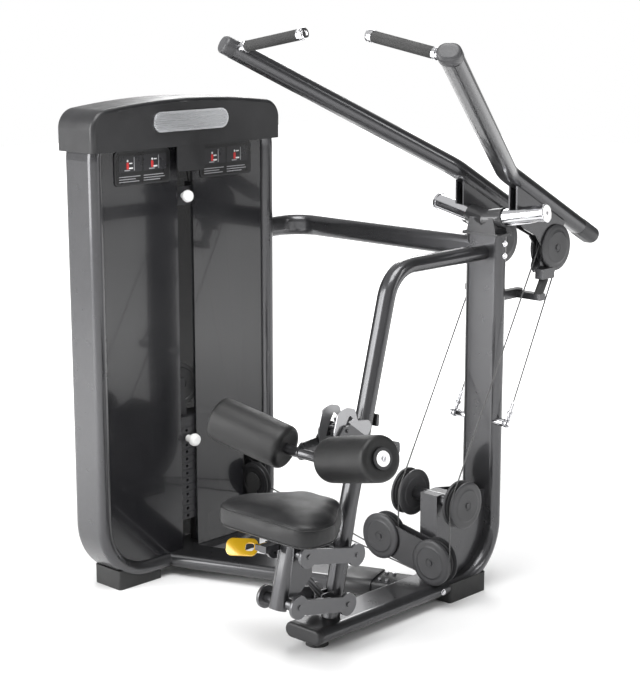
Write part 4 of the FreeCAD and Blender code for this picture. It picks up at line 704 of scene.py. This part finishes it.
# ---------------------------------------------------------------- handles and pivot sleeves
ARM_BEND = Vector((0.107, 0.121, 1.405))
ARM_FRONT = Vector((0.448, -0.598, 1.817))
PIVOT = Vector((0.0, 0.158, 1.240))
PIVOT_RISE = math.radians(10)
PIVOT_SWEEP = math.radians(6)
PIVOT_AXIS = Vector((math.cos(PIVOT_RISE) * math.cos(PIVOT_SWEEP),
                     math.cos(PIVOT_RISE) * math.sin(PIVOT_SWEEP),
                     math.sin(PIVOT_RISE)))
SLEEVE_RADIUS = 0.028


def hand_grip(side):
    """Ribbed rubber grip between a chrome collar and a chrome end, and the sleeve's end cap."""
    sign = sign_of(side)
    root = ARM_FRONT - (ARM_FRONT - ARM_BEND).normalized() * 0.042
    tip = Vector((0.133, root.y, root.z + 0.053))
    reach = (tip - root).normalized()
    length = (tip - root).length
    start, along = flipped(root, sign), flipped(reach, sign)
    node = side + "_handle"
    body = side + "_arm"
    first, last = 0.0622, length - 0.0162
    profile = [(first, 0.0135), (first + 0.0006, 0.0165)]
    count = 38
    pitch = (last - first - 0.004) / count
    for k in range(count):
        at = first + 0.002 + k * pitch
        profile += [(at, 0.0168), (at + pitch * 0.25, 0.0171), (at + pitch * 0.6, 0.0171),
                    (at + pitch * 0.8, 0.0160)]
    profile += [(last - 0.0008, 0.0168), (last, 0.0135)]
    pieces = [lathe(node + "_grip", profile, start, along, GRIP, body, 64, 50)]
    collar = [(0.0495, 0.0135), (0.0497, 0.0172), (0.0506, 0.0181), (0.0608, 0.0181),
              (0.0618, 0.0172), (0.0621, 0.0135)]
    pieces.append(lathe(node + "_collar", collar, start, along, CHROME, body))
    end = [(length - 0.0161, 0.0135), (length - 0.0158, 0.0182), (length - 0.0148, 0.019),
           (length - 0.0075, 0.019), (length - 0.0068, 0.0182), (length - 0.006, 0.0182),
           (length - 0.0052, 0.019), (length + 0.003, 0.019), (length + 0.006, 0.0176),
           (length + 0.0077, 0.014), (length + 0.008, 0.009), (length + 0.0072, 0.0075),
           (length + 0.0072, 0.0)]
    pieces.append(lathe(node + "_end", end, start, along, CHROME, body))
    stub = [(0.03, 0.0131), (0.0496, 0.0131)]
    pieces.append(lathe(node + "_stub", stub, start, along, CHROME, body))
    axis = flipped(PIVOT_AXIS, sign)
    cap = [(0.2181, 0.0285), (0.2183, 0.0298), (0.2270, 0.0300), (0.2286, 0.0288),
           (0.2290, 0.0270), (0.2284, 0.0262), (0.2284, 0.0)]
    pieces.append(lathe(node + "_sleeve_cap", cap, PIVOT, axis, CHROME, body))
    face = [(0.2284, 0.0262), (0.2294, 0.0255), (0.2294, 0.0062), (0.2286, 0.0058),
            (0.2286, 0.0)]
    pieces.append(lathe(node + "_sleeve_disc", face, PIVOT, axis, WHITE, body))
    bolt = [(0.2287, 0.0056), (0.2302, 0.0054), (0.2304, 0.0034), (0.2292, 0.0030),
            (0.2292, 0.0)]
    pieces.append(lathe(node + "_sleeve_bolt", bolt, PIVOT, axis, STEEL, body, 6, 10))
    for piece in pieces:
        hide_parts(node)


def plate_sleeve(side):
    """Chrome on the arm's faces that lie on the turned pivot sleeve."""
    axis = flipped(PIVOT_AXIS, sign_of(side))
    mesh = NODES[side + "_arm"].data
    mesh.materials.append(CHROME)

    def on_sleeve(vertex):
        arm = mesh.vertices[vertex].co - PIVOT
        along = arm.dot(axis)
        return abs((arm - axis * along).length - SLEEVE_RADIUS) <= 0.0007 and along >= 0.07

    for face in mesh.polygons:
        if all(on_sleeve(v) for v in face.vertices):
            face.material_index = len(mesh.materials) - 1


for side in ("left", "right"):
    hand_grip(side)
    plate_sleeve(side)


# ---------------------------------------------------------------- roller end discs and plaques
def roller_end(side):
    """White washer and steel bolt that close the outer end of a roller's bar."""
    outer = flipped(ROLLER_OUTER, sign_of(side))
    outward = roller_axis(side)
    washer = [(0.0049, 0.023), (0.0062, 0.0226), (0.0066, 0.0215), (0.0066, 0.0095),
              (0.0060, 0.0090), (0.0060, 0.0)]
    lathe(side + "_end_washer", washer, outer, outward, WHITE, "thigh_arm")
    bolt = [(0.0060, 0.0078), (0.0088, 0.0075), (0.0092, 0.0066), (0.0092, 0.0040),
            (0.0072, 0.0036), (0.0072, 0.0)]
    lathe(side + "_end_bolt", bolt, outer, outward, STEEL, "thigh_arm", 24, 30)


for side in ("left", "right"):
    roller_end(side)


def flat_card(name, x, y0, y1, z0, z1, radius, material, lift=0.0004, steps=6):
    """Thin rounded printed patch that faces +X."""
    radius = min(radius, (y1 - y0) / 2 - 1e-5, (z1 - z0) / 2 - 1e-5)
    ring = []
    for cy, cz, start in ((y1 - radius, z1 - radius, 0), (y0 + radius, z1 - radius, 90),
                          (y0 + radius, z0 + radius, 180), (y1 - radius, z0 + radius, 270)):
        for k in range(steps + 1):
            turn = math.radians(start + 90 * k / steps)
            ring.append((cy + radius * math.cos(turn), cz + radius * math.sin(turn)))
    count = len(ring)
    verts = [(x, y, z) for y, z in ring] + [(x + lift, y, z) for y, z in ring]
    faces = [tuple(range(count, 2 * count)), tuple(reversed(range(count)))]
    for k in range(count):
        n = (k + 1) % count
        faces.append((k, n, count + n, count + k))
    return mesh_object(name, verts, faces, material, "frame", smooth=False)


PRINT_DARK = moulded("print_dark", (0.004, 0.004, 0.0045), 0.3, 1200.0, 0.04)
PRINT_PANEL = moulded("print_panel", (0.014, 0.014, 0.016), 0.3, 1200.0, 0.04)
PRINT_RED = moulded("print_red", (0.45, 0.02, 0.02), 0.35, 1200.0, 0.04)
PRINT_MID = moulded("print_mid", (0.22, 0.22, 0.23), 0.35, 1200.0, 0.04)
PRINT_LIGHT = moulded("print_light", (0.62, 0.62, 0.63), 0.35, 1200.0, 0.04)
INK = 0.0004
BORDER = 0.006
LINE_LENGTHS = (0.085, 0.07, 0.09)


def figure_patches(lift):
    """Patches of one seated figure: (name, y0, y1, z0, z1, corner radius, ink)."""
    return [("bench", -0.020, 0.004, 0, 0.004, 0.002, PRINT_MID),
            ("torso", -0.011, -0.001, 0.005, 0.028, 0.004, PRINT_RED),
            ("head", -0.0095, -0.0025, 0.029, 0.0365, 0.0035, PRINT_LIGHT),
            ("leg", -0.001, 0.016, 0.006, 0.011, 0.0025, PRINT_LIGHT),
            ("arm", 0, 0.014, 0.024 + lift, 0.028 + lift, 0.002, PRINT_LIGHT),
            ("post", 0.020, 0.023, 0, 0.044, 0.001, PRINT_MID)]


def plaque_print(word, low, high):
    """Printed face of an instruction plaque: plain picture panels and blank lines."""
    x = high.x
    half_width = (high.y - low.y - 0.028) / 2
    flat_card(word + "_field", x, low.y + BORDER, high.y - BORDER, low.z + BORDER, high.z - BORDER,
              0.010, PRINT_DARK)
    for k, arm_lift in enumerate((-0.002, 0.006)):
        y0 = low.y + 0.014 + k * half_width + 0.003
        y1 = y0 + half_width - 0.006
        top = high.z - 0.016
        flat_card("%s_panel_%d" % (word, k), x + INK, y0, y1, top - 0.052, top, 0.004, PRINT_PANEL)
        mid = (y0 + y1) / 2 - 0.006
        base = top - 0.048
        for patch, left, right, bottom, upper, radius, ink in figure_patches(arm_lift):
            flat_card("%s_%s_%d" % (word, patch, k), x + 2 * INK, mid + left, mid + right,
                      base + bottom, base + upper, radius, ink)
    for row in range(3):
        z = low.z + 0.012 + row * 0.008
        for k in range(2):
            y0 = low.y + 0.017 + k * half_width
            flat_card("%s_line_%d_%d" % (word, row, k), x + INK, y0,
                      y0 + LINE_LENGTHS[(row + k) % 3], z, z + 0.0028, 0.001, PRINT_MID)


boards = sorted(islands(NODES["tower_plaques"]), key=lambda item: item[0].z)
for number, (low, high, _) in enumerate(boards[:2]):
    plaque_print("plaque_%d" % number, low, high)
low, high, _ = boards[-1]
flat_card("badge_field", high.x, low.y + BORDER, high.y - BORDER, low.z + BORDER, high.z - BORDER,
          0.0268, SILVER_DARK)


# ---------------------------------------------------------------- notched adjuster plates
def rounded_path(points, radius, steps=5):
    """Closed outline in the YZ plane with every corner rounded."""
    line = []
    count = len(points)
    for i in range(count):
        corner = Vector(points[i])
        back = Vector(points[i - 1]) - corner
        ahead = Vector(points[(i + 1) % count]) - corner
        reach = min(radius, back.length * 0.45, ahead.length * 0.45)
        a = corner + back.normalized() * reach
        b = corner + ahead.normalized() * reach
        for k in range(steps + 1):
            t = k / steps
            line.append(a * (1 - t) ** 2 + corner * 2 * t * (1 - t) + b * t * t)
    return line


def cut_plate(name, x, thick, outlines, material):
    """Plate in the YZ plane, centred on x: a rim outline, then its openings."""
    rounding = 0.0006
    curve = bpy.data.curves.new(name, "CURVE")
    curve.dimensions = "2D"
    curve.fill_mode = "BOTH"
    curve.extrude = thick / 2 - rounding
    curve.bevel_depth = rounding
    curve.bevel_resolution = 2
    for outline in outlines:
        spline = curve.splines.new("POLY")
        spline.points.add(len(outline) - 1)
        for index, point in enumerate(outline):
            spline.points[index].co = (point.x, point.y, 0, 1)
        spline.use_cyclic_u = True
    shape = bpy.data.objects.new(name + "_shape", curve)
    SCENE.collection.objects.link(shape)
    mesh = bpy.data.meshes.new_from_object(shape.evaluated_get(bpy.context.evaluated_depsgraph_get()))
    bpy.data.objects.remove(shape)
    for vertex in mesh.vertices:
        y, z, depth = vertex.co
        vertex.co = (x + depth, y, z)
    mesh.materials.clear()
    mesh.materials.append(material)
    obj = bpy.data.objects.new(name, mesh)
    SCENE.collection.objects.link(obj)
    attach(obj, "frame")
    return obj


PAD_PIVOT = Vector((-0.334, 0.568))
SLOT_PIN = Vector((-0.556, 0.670))
SLOT_HALF = 0.007
NOTCH_RADIUS = 0.0068
CHEEK_X = 0.0325
CHEEK_THICK = 0.005


def about_pad_pivot(degrees, radius):
    """Point at an angle and radius about the thigh pads' pivot."""
    turn = math.radians(degrees)
    return PAD_PIVOT + Vector((math.cos(turn), math.sin(turn))) * radius


def slot_outline():
    """Arc slot about the pad pivot with four round notches on its near side."""
    radius = (SLOT_PIN - PAD_PIVOT).length
    rest = math.degrees(math.atan2(SLOT_PIN.y - PAD_PIVOT.y, SLOT_PIN.x - PAD_PIVOT.x))
    line = [about_pad_pivot(rest - 11 + 18 * k / 32, radius + SLOT_HALF) for k in range(33)]
    centres = (rest + 5, rest, rest - 4.7, rest - 9.5)
    for k in range(97):
        angle = rest + 7 - 18 * k / 96
        depth = SLOT_HALF
        for centre in centres:
            across = math.radians(angle - centre) * radius
            if abs(across) < NOTCH_RADIUS:
                depth = max(depth, 0.009 + math.sqrt(NOTCH_RADIUS ** 2 - across ** 2))
        line.append(about_pad_pivot(angle, radius - depth))
    return line


def adjuster():
    """The two notched plates, the hinge lugs behind the front tube and the clip."""
    rim = rounded_path([(-0.457, 0.634), (-0.598, 0.622), (-0.606, 0.668), (-0.588, 0.728),
                        (-0.552, 0.740), (-0.514, 0.730), (-0.502, 0.690), (-0.450, 0.684),
                        (-0.436, 0.660)], 0.009)
    lug = rounded_path([(-0.4624, 0.606), (-0.4795, 0.540), (-0.318, 0.550), (-0.318, 0.586)],
                       0.008)
    eye = [about_pad_pivot(360 * k / 32, 0.0082) for k in range(32)]
    pieces = []
    for word in ("left", "right"):
        x = sign_of(word) * CHEEK_X
        pieces.append(cut_plate(word + "_notched_plate", x, CHEEK_THICK, [rim, slot_outline()],
                                LIGHT_GREY))
        pieces.append(cut_plate(word + "_pad_lug", x, CHEEK_THICK, [lug, eye], FRAME))
    clip = rounded_path([(-0.409, 0.654), (-0.398, 0.654), (-0.396, 0.690), (-0.405, 0.692)],
                        0.003)
    pieces.append(cut_plate("tube_clip", 0.0, 0.058, [clip], DARK))
    for piece in pieces:
        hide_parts("pad_adjuster")


adjuster()


# ---------------------------------------------------------------- floor, lights, camera
def backdrop():
    """Pale flat floor that glows more with distance, so that its horizon does not show."""
    floor_mat = new_material("studio_floor", (0.9, 0.9, 0.9), 0.6)
    reach = add_node(floor_mat, "ShaderNodeVectorMath", operation="LENGTH")
    link(floor_mat, object_coords(floor_mat, (0.1, 0.1, 0.1)), reach.inputs[0])
    glow = ramp(floor_mat, reach.outputs["Value"], [(0.14, 0.0), (0.3, 1.0)])
    shader = floor_mat.node_tree.nodes["Principled BSDF"]
    shader.inputs["Emission Color"].default_value = (1, 1, 1, 1)
    link(floor_mat, glow, shader.inputs["Emission Strength"])
    colour_in(floor_mat, ramp(floor_mat, noise(floor_mat, 0.6), [(0.3, 0.89), (0.8, 0.91)]))
    half = 14
    verts = [(-half, -half, 0), (half, -half, 0), (half, half, 0), (-half, half, 0)]
    floor = mesh_object("studio_floor", verts, [(0, 1, 2, 3)], floor_mat, None)


def area_light(name, place, target, width, height, power):
    """Soft box aimed at a point."""
    data = bpy.data.lights.new(name, "AREA")
    data.shape = "RECTANGLE"
    data.size = width
    data.size_y = height
    data.energy = power
    lamp = bpy.data.objects.new(name, data)
    SCENE.collection.objects.link(lamp)
    lamp.location = place
    lamp.rotation_euler = (Vector(target) - Vector(place)).to_track_quat("-Z", "Y").to_euler()


def studio_world():
    """White surroundings that darken towards +X +Y, and light less than they show."""
    world = bpy.data.worlds.new("studio")
    SCENE.world = world
    world.use_nodes = True
    background = world.node_tree.nodes["Background"]
    coords = add_node(world, "ShaderNodeTexCoord")
    toward = add_node(world, "ShaderNodeVectorMath", operation="DOT_PRODUCT")
    toward.inputs[1].default_value = (0.707, 0.707, 0)
    link(world, coords.outputs["Generated"], toward.inputs[0])
    shade = ramp(world, toward.outputs["Value"], [(0.35, (1.0,) * 3), (0.7, (0.12,) * 3)])
    link(world, shade, background.inputs["Color"])
    paths = add_node(world, "ShaderNodeLightPath")
    level = add_node(world, "ShaderNodeMapRange")
    level.inputs["To Min"].default_value = 0.62
    level.inputs["To Max"].default_value = 1.0
    link(world, paths.outputs["Is Camera Ray"], level.inputs["Value"])
    link(world, level.outputs["Result"], background.inputs["Strength"])


def photo_camera():
    """Camera fitted to the photograph's viewpoint."""
    data = bpy.data.cameras.new("camera")
    camera = bpy.data.objects.new("camera", data)
    SCENE.collection.objects.link(camera)
    camera.location = (3.442, -4.235, 2.000)
    camera.rotation_euler = (math.radians(77.86), 0, math.radians(43.69))
    data.lens = 88.0
    data.sensor_width = 36
    data.clip_end = 60
    SCENE.camera = camera


backdrop()
studio_world()
SCENE.view_settings.view_transform = "Standard"
area_light("key", (-2.5, -5.0, 2.2), (-0.3, -0.2, 0.9), 3.0, 3.5, 260)
area_light("top", (0.5, -1.5, 5.0), (-0.3, -0.2, 0.8), 3.0, 3.0, 230)
area_light("side", (4.6, 1.6, 2.6), (-0.1, 0, 0.9), 0.7, 3.5, 50)
area_light("back", (-3.5, 3.0, 3.5), (-0.5, 0, 1.0), 2.0, 2.5, 90)
photo_camera()

bpy.context.view_layer.update()
